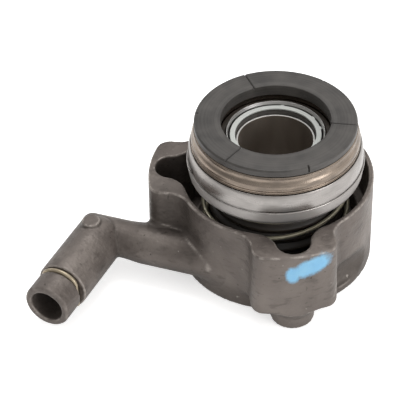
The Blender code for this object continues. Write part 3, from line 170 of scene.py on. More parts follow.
def lobes_and_feet(x, y, z, r):
    """Lobes: |across| - half-width and r - reach, both grown with depth by the draft; feet: upright
    cylinders about the bolts; pockets: a slot about the bolt that flares into the cup; bolt holes."""
    lobes, feet, pockets, holes = (np.full_like(r, 99.0) for _ in range(4))
    for degrees in LOBE_HEADINGS:
        c, s = math.cos(math.radians(degrees)), math.sin(math.radians(degrees))
        out, across = x * c + y * s, np.abs(y * c - x * s)
        draft = DRAFT * (RIM_Z - z)
        lobe = round_edge(across - LOBE_HALF - draft, r - LOBE_REACH - draft, 3.5)
        lobe = round_edge(np.maximum(lobe, LOBE_ROOT - out), LOBE_BOTTOM - z, 1.5)
        bolt = np.hypot(out - BOLT_CIRCLE_R, across)
        tip = np.where(out > BOLT_CIRCLE_R, bolt, across) - POCKET_R
        pocket = np.maximum(fillet(tip, r - CUP_R, POCKET_FLARE), across - POCKET_R - POCKET_FLARE)
        pocket = round_edge(np.maximum(pocket, LOBE_ROOT - out), POCKET_FLOOR - z, 0.8)
        lobes = np.minimum(lobes, lobe)
        feet = np.minimum(feet, np.maximum(bolt - FOOT_BOSS_R, z - LOBE_BOTTOM - FOOT_OVERLAP))
        pockets = np.minimum(pockets, pocket)
        holes = np.minimum(holes, bolt - BOLT_HOLE_R)
    return lobes, feet, pockets, holes


def side_recess(x, y, z):
    """Flattened bar along the wall's tangent: its section is an ellipse, half-height by depth."""
    turn, flat = math.radians(RECESS_HEADING), RECESS_DEPTH / RECESS_HALF
    outward = x * math.cos(turn) + y * math.sin(turn) - WALL_R
    return (np.hypot(outward / flat, z - RECESS_Z) - RECESS_HALF) * flat


def casting(x, y, z):
    """Signed distance to the casting's surface, in mm, negative inside. Each form is a distance to
    an axis or a plane less its size; fillets join them, and the hollows are taken out last."""
    r = np.hypot(x, y)
    body = round_edge(r - WALL_R, -side_recess(x, y, z), 0.6)
    lobes, feet, pockets, holes = lobes_and_feet(x, y, z, r)
    body = fillet(body, lobes, CAST_FILLET)
    body = np.maximum(fillet(body, feet, CAST_FILLET), r - LOBE_REACH - DRAFT * (RIM_Z - z))

    about_arm = np.hypot(y - ARM_Y, z - ARM_Z)
    swell = np.clip((x - ARM_COLLAR_X + COLLAR_EASE / 2) / COLLAR_EASE, 0.0, 1.0)
    arm = about_arm - ARM_R - ARM_COLLAR * swell * swell * (3.0 - 2.0 * swell)
    arm = round_edge(round_edge(arm, ARM_END - x, 3.5), x - ARM_START, 3.0)
    body = fillet(body, arm, ARM_FILLET)

    along = (x - ELBOW_X) * SOCKET_AXIS[0] + (y - ARM_Y) * SOCKET_AXIS[1]
    aside = (y - ARM_Y) * SOCKET_AXIS[0] - (x - ELBOW_X) * SOCKET_AXIS[1]
    about = np.hypot(aside, z - ARM_Z)
    rounded_back = np.hypot(about, BACK_TAPER * np.minimum(along - BARREL_BACK, 0.0))
    barrel = round_edge(rounded_back - SOCKET_R, along - GROOVE_START, 0.5)
    nose = round_edge(about - NOSE_R, along - SOCKET_LENGTH, 1.2)
    nose = round_edge(nose, NOSE_START - along, 0.4)
    neck = np.maximum(about - GROOVE_R, np.abs(along - CLIP_AT) - NECK_HALF)
    pad = round_edge(np.hypot(along - PAD_ALONG, aside - PAD_ASIDE) - PAD_R, z - PAD_TOP, 0.45)
    body = fillet(body, barrel, 0.5)
    body = fillet(body, np.maximum(pad, ARM_Z - z), 0.7)
    body = np.minimum(body, np.minimum(nose, neck))
    slots = np.maximum(np.abs(np.abs(aside) - CLIP_LEG), np.abs(along - CLIP_AT)) - SLOT_HALF
    body = np.maximum(body, -np.maximum(slots, np.abs(z - ARM_Z) - SLOT_DOWN))

    body = round_edge(round_edge(body, z - RIM_Z, 0.45), -z, 0.3)
    cup = np.minimum(round_edge(r - CUP_R, LEDGE_Z - z, 1.5), round_edge(r - FOOT_R, FLOOR_Z - z, 1.5))
    cup = round_edge(cup, -round_edge(r - CYLINDER_R, z - CYLINDER_TOP, 0.4), 0.8)
    body = round_edge(body, -np.minimum(cup, pockets), 0.45)
    deep, deeper = SOCKET_LENGTH - SOCKET_DEPTH, SOCKET_LENGTH - SOCKET_STEP_DEPTH
    bore = np.maximum(about - SOCKET_BORE_R, deep - along)
    bore = np.minimum(bore, np.maximum(about - SOCKET_STEP_R, deeper - along))
    body = round_edge(body, -bore, 0.7)
    body = round_edge(body, -holes, 0.2)
    body = np.maximum(body, CHAMBER_R - r)
    body = np.maximum(body, -np.maximum(r - FLANGE_SEAT_R, z - FLANGE_SEAT_TOP))
    body = np.maximum(body, -np.maximum(np.abs(r - RING_SEAT_R) - RING_SEAT_HALF, z - RING_SEAT_TOP))
    body = round_edge(body, -np.maximum(about_arm - ARM_HOLE_R, x - ARM_END - ARM_HOLE_DEPTH), 0.2)
    riser = np.hypot(x - RISER_HOLE_X, y - ARM_Y) - RISER_HOLE_R
    return np.maximum(body, -np.maximum(riser, z - RISER_HOLE_TOP))


def skin(field, low, high, step):
    """Quads on field = 0: one vertex in each grid cell that the surface crosses, at the mean of its
    edge crossings, then moved down the gradient onto the surface; a quad across each crossed edge.
    The third result is the field's Laplacian, positive on outer edges and negative in corners, and
    the fourth is how far the surface faces down."""
    axes = [np.arange(a, b + step, step) for a, b in zip(low, high)]
    value = field(*np.meshgrid(*axes, indexing="ij"))
    shape = np.array(value.shape) - 1
    corners = [(i, j, k) for i in (0, 1) for j in (0, 1) for k in (0, 1)]
    block = {c: value[tuple(slice(a, a + n) for a, n in zip(c, shape))] for c in corners}
    inside = sum((block[c] < 0.0).astype(np.int8) for c in corners)
    cells = np.nonzero((inside > 0) & (inside < 8))
    number = np.full(shape, -1, np.int64)
    number[cells] = np.arange(len(cells[0]))
    total, count = np.zeros((len(cells[0]), 3)), np.zeros(len(cells[0]))
    for first in corners:
        for axis in (n for n in range(3) if not first[n]):
            second = tuple(1 if n == axis else first[n] for n in range(3))
            a, b = block[first][cells], block[second][cells]
            crossed = (a < 0.0) != (b < 0.0)
            share = np.where(crossed, a / np.where(crossed, a - b, 1.0), 0.0)
            crossing = np.array(first, float) + share[:, None] * np.eye(3)[axis]
            total += np.where(crossed[:, None], crossing, 0.0)
            count += crossed
    points = (np.stack(cells, 1) + total / count[:, None]) * step + np.array(low)

    quads = []
    for axis in range(3):
        one, two = [n for n in range(3) if n != axis]
        span = [slice(1, -1)] * 3
        span[axis] = slice(None, -1)
        ahead = list(span)
        ahead[axis] = slice(1, None)
        a, b = value[tuple(span)] < 0.0, value[tuple(ahead)] < 0.0
        where = np.stack(np.nonzero(a != b), 1)
        where[:, [one, two]] += 1
        ring = []
        for du, dv in ((1, 1), (0, 1), (0, 0), (1, 0)):
            cell = where.copy()
            cell[:, one] -= du
            cell[:, two] -= dv
            ring.append(number[tuple(cell.T)])
        ring = np.stack(ring, 1)
        flip = a[a != b] == (axis == 1)
        ring[flip] = ring[flip][:, ::-1]
        quads.append(ring)

    near, wide = 0.12, 0.5
    for _ in range(3):
        slope = np.stack([field(*(points + near * e).T) - field(*(points - near * e).T)
                          for e in np.eye(3)], 1) / (2 * near)
        steep = np.maximum((slope ** 2).sum(1), 0.25)
        points = points - np.clip(field(*points.T) / steep, -0.2, 0.2)[:, None] * slope
    bend = sum(field(*(points + wide * e).T) + field(*(points - wide * e).T) for e in np.eye(3))
    return points, np.concatenate(quads), bend / wide ** 2, -slope[:, 2] / np.linalg.norm(slope, axis=1)


def add_piece(name, points, faces, nodes, body, material):
    """A piece from points in mm about the bore axis, which stands for the nodes and rides a body."""
    mesh = bpy.data.meshes.new(name)
    mesh.from_pydata(np.asarray(points).reshape(-1, 3) / 1000.0 + BORE, [], faces)
    mesh.shade_smooth()
    mesh.materials.append(material)
    piece = bpy.data.objects.new(name, mesh)
    bpy.context.collection.objects.link(piece)
    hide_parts(*nodes)
    if body:
        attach(piece, body)
    return piece


def finish(name, metallic):
    """New material: itself, its node tree, its shader, and the piece's own coordinates."""
    material = bpy.data.materials.new(name)
    material.use_nodes = True
    tree = material.node_tree
    shader = tree.nodes["Principled BSDF"]
    shader.inputs["Metallic"].default_value = metallic
    return material, tree, shader, tree.nodes.new("ShaderNodeTexCoord").outputs["Object"]


def cover(tree, shader, colour, roughness):
    """The surface's colour and roughness, each from a socket."""
    tree.links.new(colour, shader.inputs["Base Color"])
    tree.links.new(roughness, shader.inputs["Roughness"])


def clouds(tree, place, size, detail=3.0, stretch=(1.0, 1.0, 1.0)):
    """Noise from 0 to 1 with patches about size mm across, stretched along the axes."""
    scale = tree.nodes.new("ShaderNodeMapping")
    scale.inputs["Scale"].default_value = [1000.0 / size / s for s in stretch]
    tree.links.new(place, scale.inputs["Vector"])
    node = tree.nodes.new("ShaderNodeTexNoise")
    node.inputs["Scale"].default_value = 1.0
    node.inputs["Detail"].default_value = detail
    tree.links.new(scale.outputs["Vector"], node.inputs["Vector"])
    return node.outputs["Fac"]


def ramp(tree, value, low, high, start, end):
    """The value carried from low..high to start..end, and held at both ends."""
    node = tree.nodes.new("ShaderNodeMapRange")
    for socket, number in zip(("From Min", "From Max", "To Min", "To Max"), (low, high, start, end)):
        node.inputs[socket].default_value = number
    tree.links.new(value, node.inputs["Value"])
    return node.outputs["Result"]


def combine(tree, operation, a, b):
    """Two values put together; b is a value or a plain number."""
    node = tree.nodes.new("ShaderNodeMath")
    node.operation = operation
    tree.links.new(a, node.inputs[0])
    if isinstance(b, (int, float)):
        node.inputs[1].default_value = b
    else:
        tree.links.new(b, node.inputs[1])
    return node.outputs["Value"]


def tint(tree, share, first, second):
    """Colour that goes from the first to the second with the share; each is a colour or a socket."""
    node = tree.nodes.new("ShaderNodeMix")
    node.data_type = "RGBA"
    tree.links.new(share, node.inputs["Factor"])
    for socket, colour in ((node.inputs[6], first), (node.inputs[7], second)):
        if isinstance(colour, tuple):
            socket.default_value = (*colour, 1.0)
        else:
            tree.links.new(colour, socket)
    return node.outputs[2]


def relief(tree, shader, *heights):
    """Bumps, one over the other: pairs of a height from 0 to 1 and its depth in mm."""
    normal = None
    for height, depth in heights:
        node = tree.nodes.new("ShaderNodeBump")
        node.inputs["Distance"].default_value = depth / 1000.0
        tree.links.new(height, node.inputs["Height"])
        if normal:
            tree.links.new(normal, node.inputs["Normal"])
        normal = node.outputs["Normal"]
    tree.links.new(normal, shader.inputs["Normal"])


def spot_on(tree, place, centre, halves, angles=(0.0, 0.0, 0.0)):
    """Distance from a centre in units of the half-sizes, in axes turned by the angles."""
    own = tree.nodes.new("ShaderNodeMapping")
    own.vector_type = "TEXTURE"
    own.inputs["Location"].default_value = [c / 1000.0 + b for c, b in zip(centre, BORE)]
    own.inputs["Rotation"].default_value = angles
    own.inputs["Scale"].default_value = [h / 1000.0 for h in halves]
    tree.links.new(place, own.inputs["Vector"])
    length = tree.nodes.new("ShaderNodeVectorMath")
    length.operation = "LENGTH"
    tree.links.new(own.outputs["Vector"], length.inputs[0])
    return length.outputs["Value"]


def attribute(tree, name):
    """A value that the mesh carries at its points."""
    node = tree.nodes.new("ShaderNodeAttribute")
    node.attribute_name = name
    return node.outputs["Fac"]


# Casting colours. The darkest one is real grime in flow streaks and pits, and also painted shade in corners,
# in the side recess, along the wall's foot, on down-facing faces and on the left lobe's flank.
CAST_DARK, CAST_MID, CAST_LIGHT = (0.098, 0.082, 0.073), (0.146, 0.124, 0.111), (0.205, 0.178, 0.160)
CAST_EDGE, CAST_GRIME_AND_SHADE, CAST_CHIP = (0.300, 0.268, 0.244), (0.048, 0.040, 0.034), (0.360, 0.330, 0.300)
PAINT_BLUE, PAINT_PALE = (0.150, 0.380, 0.620), (0.225, 0.475, 0.655)
DAB_CENTRE, DAB_HALVES = (25.9, -39.6, 30.2), (8.4, 3.9, 4.5)
DAB_ANGLES = (math.radians(90.0), math.radians(-21.0), math.radians(32.0))
DAB_START, DAB_START_HALVES, DAB_START_TURN = (19.9, -42.9, 27.3), (2.7, 4.5, 3.9), math.radians(24.8)
EJECTOR_MARKS, EJECTOR_R = ((28.8, -30.1), (7.0, -38.6)), 2.6
# Painted shade patch on the left lobe's front flank: centre and half-sizes in mm.
SHADE_PATCH_CENTRE, SHADE_PATCH_HALVES = (-35.0, -22.0, 28.0), (13.0, 9.0, 13.0)
# Painted highlight patch on the arm's top: centre and half-sizes in mm.
HIGHLIGHT_PATCH_CENTRE, HIGHLIGHT_PATCH_HALVES = (-37.0, -31.5, 18.0), (9.0, 4.5, 4.0)
RIDGE_X, RIDGE_SLOPE, RIDGE_LIMITS, RIDGE_REACH, RIDGE_HALF = -33.2, 0.39, (-2.5, 1.7), 3.2, 0.45

cast, tree, shader, place = finish("shot_blasted_casting", 0.55)
blotches = clouds(tree, place, 9.0, 5.0)
stains = clouds(tree, place, 26.0, 2.0)
grain = clouds(tree, place, 0.7, 4.0)
dents = clouds(tree, place, 3.0, 2.0)
flecks = clouds(tree, place, 1.5, 1.0)
flow = clouds(tree, place, 5.0, 6.0, (1.0, 1.0, 0.4))
colour = tint(tree, ramp(tree, blotches, 0.36, 0.64, 0.0, 1.0), CAST_DARK, CAST_MID)
colour = tint(tree, ramp(tree, stains, 0.45, 0.70, 0.0, 0.8), colour, CAST_LIGHT)
colour = tint(tree, ramp(tree, flow, 0.56, 0.66, 0.0, 0.35), colour, CAST_GRIME_AND_SHADE)
# Painted shade in the side recess and along the foot of the wall.
colour = tint(tree, ramp(tree, attribute(tree, "hollow"), 0.0, 1.0, 0.0, 0.62), colour, CAST_GRIME_AND_SHADE)
# Painted shade on faces that look down.
colour = tint(tree, ramp(tree, attribute(tree, "under"), 0.98, 1.45, 0.0, 0.50), colour, CAST_GRIME_AND_SHADE)
# Painted shade in concave corners, standing in for occlusion.
colour = tint(tree, ramp(tree, attribute(tree, "corner"), 0.1, 0.9, 0.0, 0.55), colour, CAST_GRIME_AND_SHADE)
# Painted shade: a dark patch on the left lobe's front flank, where the wall's bulge shades it.
painted_shade_patch = spot_on(tree, place, SHADE_PATCH_CENTRE, SHADE_PATCH_HALVES)
colour = tint(tree, ramp(tree, painted_shade_patch, 0.3, 1.2, 0.55, 0.0), colour, CAST_GRIME_AND_SHADE)
# Painted highlight: a light patch on the arm's top, its edge frayed by the flow noise.
painted_highlight_patch = spot_on(tree, place, HIGHLIGHT_PATCH_CENTRE, HIGHLIGHT_PATCH_HALVES)
painted_highlight_patch = combine(tree, "ADD", painted_highlight_patch, ramp(tree, flow, 0.3, 0.7, -0.2, 0.2))
colour = tint(tree, ramp(tree, painted_highlight_patch, 0.4, 1.1, 0.75, 0.0), colour, CAST_LIGHT)
# Worn edges lighten; the painted ridge highlight, a light line where a cast ridge at the arm's join catches
# the light, is joined in.
edges = ramp(tree, attribute(tree, "edge"), 0.55, 1.5, 0.0, 1.0)
edges = combine(tree, "MAXIMUM", edges, attribute(tree, "ridge_highlight"))
wear_and_ridge_highlight = combine(tree, "MULTIPLY", edges, ramp(tree, dents, 0.38, 0.60, 0.15, 1.0))
colour = tint(tree, wear_and_ridge_highlight, colour, CAST_EDGE)
colour = tint(tree, ramp(tree, flecks, 0.28, 0.22, 0.0, 0.8), colour, CAST_GRIME_AND_SHADE)
colour = tint(tree, ramp(tree, flecks, 0.75, 0.84, 0.0, 0.7), colour, CAST_CHIP)
dab_start = spot_on(tree, place, DAB_START, DAB_START_HALVES, (0.0, 0.0, DAB_START_TURN))
dab = combine(tree, "MINIMUM", spot_on(tree, place, DAB_CENTRE, DAB_HALVES, DAB_ANGLES), dab_start)
ragged = ramp(tree, clouds(tree, place, 5.0, 2.0), 0.3, 0.7, -0.10, 0.10)
speckled = ramp(tree, clouds(tree, place, 0.8, 3.0), 0.3, 0.7, -0.07, 0.07)
dab = combine(tree, "ADD", dab, combine(tree, "ADD", ragged, speckled))
painted = ramp(tree, dab, 0.70, 1.12, 1.0, 0.0)
colour = tint(tree, painted, colour, tint(tree, clouds(tree, place, 4.0), PAINT_BLUE, PAINT_PALE))
dull = ramp(tree, blotches, 0.3, 0.7, 0.44, 0.60)
dull = combine(tree, "SUBTRACT", dull, combine(tree, "MULTIPLY", wear_and_ridge_highlight, 0.15))
cover(tree, shader, colour, dull)
tree.links.new(ramp(tree, painted, 0.0, 1.0, 0.55, 0.0), shader.inputs["Metallic"])
marks = grain
for x, y in EJECTOR_MARKS:
    rim = spot_on(tree, place, (x, y, RIM_Z), (EJECTOR_R, EJECTOR_R, EJECTOR_R))
    ring = combine(tree, "ABSOLUTE", combine(tree, "SUBTRACT", rim, 1.0), 0.0)
    marks = combine(tree, "MULTIPLY", marks, ramp(tree, ring, 0.0, 0.2, 0.0, 1.0))
relief(tree, shader, (dents, 0.28), (flow, 0.26), (flecks, 0.08), (marks, 0.07))

SKIN_LOW, SKIN_HIGH, SKIN_STEP = (-74.93, -73.03, -0.9), (38.0, 49.2, 36.6), 0.66
points, quads, bend, under = skin(casting, SKIN_LOW, SKIN_HIGH, SKIN_STEP)
housing = add_piece("cast_housing", points, quads, ["housing"], "housing", cast)
from_axis = np.hypot(points[:, 0], points[:, 1])
from_lobes, from_feet = lobes_and_feet(*points.T, from_axis)[:2]
from_arm = np.hypot(points[:, 1] - ARM_Y, points[:, 2] - ARM_Z) - ARM_R - ARM_COLLAR
from_cup = np.minimum(from_axis - WALL_R, from_lobes)
# Painted highlight line along the join of the arm and the cup, where a worn cast ridge that is not modelled
# catches the light.
ridge_course = np.clip(RIDGE_SLOPE * (points[:, 0] - RIDGE_X), *RIDGE_LIMITS)
off_ridge = np.abs(from_cup - from_arm - ridge_course)
by_arm = (np.maximum(from_cup, from_arm) < RIDGE_REACH) & (points[:, 2] > ARM_Z)
ridge_highlight = np.where(by_arm, np.clip(1.4 - off_ridge / RIDGE_HALF, 0.0, 1.0), 0.0)
# Painted shade mask: the side recess, and the wall's foot away from the lobes' feet, are darkened as if in
# shadow.
on_wall = np.clip((37.4 - from_axis) / 0.8, 0.0, 1.0)
low_wall = np.clip((10.0 - points[:, 2]) / 5.0, 0.0, 1.0) * np.clip(from_feet / 4.0, 0.0, 1.0)
in_recess = np.clip(0.9 - side_recess(*points.T) / 1.2, 0.0, 1.0)
hollow = on_wall * np.maximum(in_recess, 0.5 * low_wall)
# Carried to the shader: edge wear, painted shade in corners, in the recess and on down-facing faces, and the
# painted ridge highlight line.
carried_values = {"edge": bend, "corner": -bend, "hollow": hollow, "under": 1.0 + under, "ridge_highlight": ridge_highlight}
for name, value in carried_values.items():
    carried = housing.data.attributes.new(name, "FLOAT", "POINT")
    carried.data.foreach_set("value", np.clip(value, 0.0, 2.0).astype(np.float32))


# Guide tube: deep-drawn steel, with a rolled top edge, a flared foot and the flange that closes
# the chamber from below. It is pressed in from the base side.
def soften(corners, radius, steps=5):
    """A closed outline whose corners are cut by quadratic curves, from radius before each to radius
    after it, or to 0.4 of the shorter side; a point just beyond each cut keeps the flats flat."""
    corners = np.asarray(corners, float)
    back, on = np.roll(corners, 1, 0) - corners, np.roll(corners, -1, 0) - corners
    back_length, on_length = np.linalg.norm(back, axis=1), np.linalg.norm(on, axis=1)
    back, on = back / back_length[:, None], on / on_length[:, None]
    cut = np.minimum(radius, 0.4 * np.minimum(back_length, on_length))[:, None]
    t = np.linspace(0.0, 1.0, steps)[None, :, None]
    start, end = (corners + back * cut)[:, None], (corners + on * cut)[:, None]
    curve = (1 - t) ** 2 * start + 2 * t * (1 - t) * corners[:, None] + t ** 2 * end
    lead, tail = (corners + back * cut * 1.2)[:, None], (corners + on * cut * 1.2)[:, None]
    return np.concatenate([lead, curve, tail], 1).reshape(-1, 2)


EVEN_HEADINGS = np.linspace(0.0, math.tau, 193)[:-1]


def spin(outline, headings=EVEN_HEADINGS, offsets=None):
    """A closed outline of (radius, height) turned about the bore axis: x = r cos h, y = r sin h. A
    heading with an offset v is turned on by arcsin(v / r), so its grid line runs beside a radius."""
    outline = np.asarray(outline, float)
    following = np.roll(outline, -1, 0)
    if (outline[:, 0] * following[:, 1] - following[:, 0] * outline[:, 1]).sum() < 0.0:
        outline = outline[::-1]
    turn = headings[:, None] + np.zeros(len(outline))
    if offsets is not None:
        turn = turn + np.arcsin(offsets[:, None] / outline[None, :, 0])
    r, z = np.broadcast_to(outline[:, 0], turn.shape), np.broadcast_to(outline[:, 1], turn.shape)
    return np.stack([r * np.cos(turn), r * np.sin(turn), z], -1)


def grid_faces(rows, columns, closed=True):
    """Quads of a grid whose columns close on themselves; its rows close too, or both ends are capped."""
    i, j = np.meshgrid(np.arange(rows if closed else rows - 1), np.arange(columns), indexing="ij")
    on, beside = (i + 1) % rows, (j + 1) % columns
    quads = np.stack([i * columns + j, on * columns + j, on * columns + beside, i * columns + beside], -1)
    faces = quads.reshape(-1, 4).tolist()
    if not closed:
        faces += [list(range(columns)), list(range(rows * columns - 1, (rows - 1) * columns - 1, -1))]
    return faces


def add_grid(name, points, nodes, body, material, closed=True):
    """A piece whose points lie in a grid, row by row."""
    faces = grid_faces(*points.shape[:2], closed)
    return add_piece(name, points, faces, nodes, body, material)


def add_turned(name, corners, radius, nodes, body, material):
    """A ring-shaped piece: its section's corners softened, then turned about the bore axis."""
    add_grid(name, spin(soften(corners, radius)), nodes, body, material)


def split(tree, vector):
    """The vector's x, y and z."""
    node = tree.nodes.new("ShaderNodeSeparateXYZ")
    tree.links.new(vector, node.inputs["Vector"])
    return node.outputs


def lathe_lines(tree, place, pitch):
    """Fine rings about the bore axis: noise that depends on the radius and the height alone."""
    centred = tree.nodes.new("ShaderNodeVectorMath")
    centred.operation = "SUBTRACT"
    centred.inputs[1].default_value = BORE
    tree.links.new(place, centred.inputs[0])
    x, y, z = split(tree, centred.outputs["Vector"])
    square_x, square_y = (combine(tree, "POWER", combine(tree, "ABSOLUTE", n, 0.0), 2.0) for n in (x, y))
    radial = tree.nodes.new("ShaderNodeCombineXYZ")
    tree.links.new(combine(tree, "SQRT", combine(tree, "ADD", square_x, square_y), 0.0), radial.inputs["X"])
    tree.links.new(z, radial.inputs["Y"])
    return clouds(tree, radial.outputs["Vector"], pitch, 2.0)


TUBE_R, TUBE_BORE_R, TUBE_TOP, TUBE_FOOT_R, TUBE_FLANGE_R = 14.5, 13.7, 51.4, 18.2, 24.0
TUBE_FLANGE_TOP, TUBE_FLANGE_BOTTOM, TUBE_FOOT_TOP, TUBE_NECK_Z = 1.4, 0.6, 6.2, 8.4
tube_steel, tree, shader, place = finish("drawn_tube_steel", 0.75)
smears = clouds(tree, place, 5.0, 4.0, (1.0, 1.0, 4.0))
coated = tint(tree, smears, (0.230, 0.190, 0.160), (0.340, 0.295, 0.250))
# The rolled top edge is painted bright steel: partly bare worn metal, partly a painted highlight along the
# rim.
top = ramp(tree, split(tree, place)["Z"], TUBE_TOP / 1000.0 - 0.0002, TUBE_TOP / 1000.0 - 0.00005, 0.0, 1.0)
coated = tint(tree, top, coated, (0.58, 0.57, 0.55))
cover(tree, shader, coated, ramp(tree, smears, 0.3, 0.7, 0.40, 0.56))
relief(tree, shader, (lathe_lines(tree, place, 0.5), 0.008))
section = [
    (TUBE_R, TUBE_TOP), (TUBE_R, TUBE_NECK_Z), (TUBE_FOOT_R, TUBE_FOOT_TOP), (TUBE_FOOT_R, TUBE_FLANGE_TOP),
    (TUBE_FLANGE_R, TUBE_FLANGE_TOP), (TUBE_FLANGE_R, TUBE_FLANGE_BOTTOM),
    (TUBE_FOOT_R - 0.8, TUBE_FLANGE_BOTTOM), (TUBE_FOOT_R - 0.8, TUBE_FOOT_TOP - 0.4),
    (TUBE_BORE_R, TUBE_NECK_Z - 0.4), (TUBE_BORE_R, TUBE_TOP)]
add_turned("drawn_guide_tube", section, 0.36, ["guide_tube"], "housing", tube_steel)


# Seals of the base: the input-shaft seal in the tube's foot, its steel case, rubber lip and garter
# spring, and the O-rings of the tube's flange and of the base face.
def black_rubber(name, shine):
    """Moulded rubber: near black, greyed by fine bloom, with a soft sheen."""
    rubber, tree, shader, place = finish(name, 0.0)
    bloom = clouds(tree, place, 4.0, 5.0)
    greyed = tint(tree, bloom, (0.014, 0.011, 0.008), (0.044, 0.034, 0.025))
    cover(tree, shader, greyed, ramp(tree, bloom, 0.3, 0.7, shine, shine + 0.18))
    relief(tree, shader, (clouds(tree, place, 0.5), 0.02))
    return rubber


SEAL_BOTTOM, CASE_R, CASE_IN, CASE_TOP, CASE_HOLE_R = 1.2, 17.1, 16.3, 5.5, 13.85
LIP_R, LIP_TOP, NECK_R, GARTER_RING_R, GARTER_Z, GARTER_R = 12.2, 4.4, 13.0, 14.6, 2.2, 0.5
BASE_RING_R, BASE_RING_Z, BASE_RING_SECTION = 27.7, 1.2, 0.9
seal_rubber = black_rubber("seal_rubber", 0.38)
seal_steel, tree, shader, place = finish("seal_case_steel", 0.95)
stained = tint(tree, clouds(tree, place, 3.0, 5.0), (0.20, 0.185, 0.165), (0.34, 0.32, 0.29))
cover(tree, shader, stained, ramp(tree, clouds(tree, place, 1.2), 0.3, 0.7, 0.30, 0.45))
relief(tree, shader, (lathe_lines(tree, place, 0.3), 0.01))
section = [
    (CASE_R, CASE_TOP), (CASE_R, SEAL_BOTTOM), (CASE_IN, SEAL_BOTTOM), (CASE_IN, CASE_TOP - 0.8),
    (CASE_HOLE_R, CASE_TOP - 0.8), (CASE_HOLE_R, CASE_TOP)]
add_turned("shaft_seal_cup", section, 0.3, ["shaft_seal_case"], "housing", seal_steel)
section = [
    (CASE_IN - 0.3, LIP_TOP), (CASE_IN - 0.3, LIP_TOP - 0.8), (NECK_R + 0.8, LIP_TOP - 0.8),
    (NECK_R + 0.4, SEAL_BOTTOM), (NECK_R, SEAL_BOTTOM), (LIP_R, SEAL_BOTTOM + 0.8), (NECK_R - 0.2, LIP_TOP)]
add_turned("shaft_seal_rubber_lip", section, 0.15, ["shaft_seal_lip"], "housing", seal_rubber)


def torus(radius, height, section):
    """A ring of round section: (R + s cos a, z + s sin a), turned about the bore axis."""
    a = np.linspace(0.0, math.tau, 17)[:-1]
    return spin(np.stack([radius + section * np.cos(a), height + section * np.sin(a)], 1))


garter = torus(GARTER_RING_R, GARTER_Z, GARTER_R)
add_grid("garter_spring", garter, ["shaft_seal_spring"], "housing", seal_steel)
base_ring = torus(BASE_RING_R, BASE_RING_Z, BASE_RING_SECTION)
add_grid("base_face_ring", base_ring, ["base_o_ring"], "housing", seal_rubber)
for hidden in ("tube_o_ring", "pressure_seal"):
    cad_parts[hidden].material_slots[0].material = seal_rubber


# Piston: moulded glass-filled plastic in the annular chamber, with its backing ring; the pale ring
# on top of its sleeve has small lugs that catch in the bearing's collar.
RETAINER_BORE, RETAINER_R, RETAINER_LOW, RETAINER_TOP = 14.8, 16.7, 53.2, 53.9
LUG_HEADINGS, LUG_HALF, LUG_REACH = np.radians((29.1, 51.5, 98.5)), 0.7, 17.15


def moulded_plastic(name, dark, light, roughness, grain_depth):
    """Moulded plastic: two close shades in soft clouds, a fine grain, and a slight waviness."""
    plastic, tree, shader, place = finish(name, 0.0)
    shade = clouds(tree, place, 6.0, 4.0)
    colour = tint(tree, shade, dark, light)
    cover(tree, shader, colour, ramp(tree, shade, 0.3, 0.7, roughness, roughness + 0.12))
    relief(tree, shader, (clouds(tree, place, 2.5), 2 * grain_depth), (clouds(tree, place, 0.3), grain_depth))
    return plastic


pale_plastic = moulded_plastic("retainer_plastic", (0.47, 0.485, 0.465), (0.54, 0.555, 0.53), 0.36, 0.01)
piston_plastic = moulded_plastic("piston_plastic", (0.060, 0.055, 0.050), (0.095, 0.088, 0.080), 0.42, 0.012)
outline = soften([(RETAINER_R, RETAINER_TOP), (RETAINER_R, RETAINER_LOW), (RETAINER_BORE, RETAINER_LOW),
                  (RETAINER_BORE, RETAINER_TOP)], 0.25)
beside = np.array([-1.25, -1.0, -0.8, 0.8, 1.0, 1.25]) * LUG_HALF / RETAINER_R
headings = np.sort(np.concatenate([EVEN_HEADINGS, (LUG_HEADINGS[:, None] + beside).ravel()]))
points = spin(outline, headings)
from_lug = np.abs((headings[:, None] - LUG_HEADINGS + math.pi) % math.tau - math.pi).min(1) * RETAINER_R
on_lug = np.clip((LUG_HALF - from_lug) / (0.2 * LUG_HALF) + 0.5, 0.0, 1.0)[:, None]
radius = np.hypot(points[..., 0], points[..., 1])
outside = np.clip((radius - RETAINER_R + 0.3) / 0.3, 0.0, 1.0)
points[..., :2] *= (1.0 + (LUG_REACH - RETAINER_R) / RETAINER_R * on_lug * outside)[..., None]
add_grid("retainer", points, ["retaining_ring"], "piston_group", pale_plastic)
for kept in ("piston", "seal_backing_ring"):
    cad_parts[kept].material_slots[0].material = piston_plastic


# Dust boot: a rubber bellows from the chamber's outside to the bearing. It shortens with the stroke;
# here it is made in one shape and rides no body.
BOOT_LOW, BOOT_TOP, BOOT_WALL, BOOT_FOLDS = 15.0, 37.7, 0.8, 4
FOLD_LOW, FOLD_HIGH, VALLEY_R, FOLD_R, SEAT_Z = 16.2, 35.7, 23.1, 25.2, 36.9
LOW_BEAD_IN, LOW_BEAD_OUT, TOP_BEAD_IN, TOP_BEAD_OUT = 22.3, 23.9, 20.3, 23.3
boot_rubber = black_rubber("bellows_rubber", 0.34)
climb = np.linspace(0.0, 1.0, 16 * BOOT_FOLDS + 1)
swell = VALLEY_R + (FOLD_R - VALLEY_R) * (0.5 - 0.5 * np.cos(math.tau * BOOT_FOLDS * climb)) ** 0.8
folds = np.stack([swell, FOLD_LOW + (FOLD_HIGH - FOLD_LOW) * climb], 1)
outline = np.concatenate([
    [(LOW_BEAD_IN, BOOT_LOW), (LOW_BEAD_OUT, BOOT_LOW), (LOW_BEAD_OUT, FOLD_LOW - 0.1)], folds,
    [(TOP_BEAD_OUT, SEAT_Z), (TOP_BEAD_OUT, BOOT_TOP), (TOP_BEAD_IN, BOOT_TOP), (TOP_BEAD_IN, SEAT_Z)],
    folds[::-1] - (BOOT_WALL, 0.0)])
boot = add_grid("bellows", spin(outline), ["dust_boot"], None, boot_rubber)
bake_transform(boot)


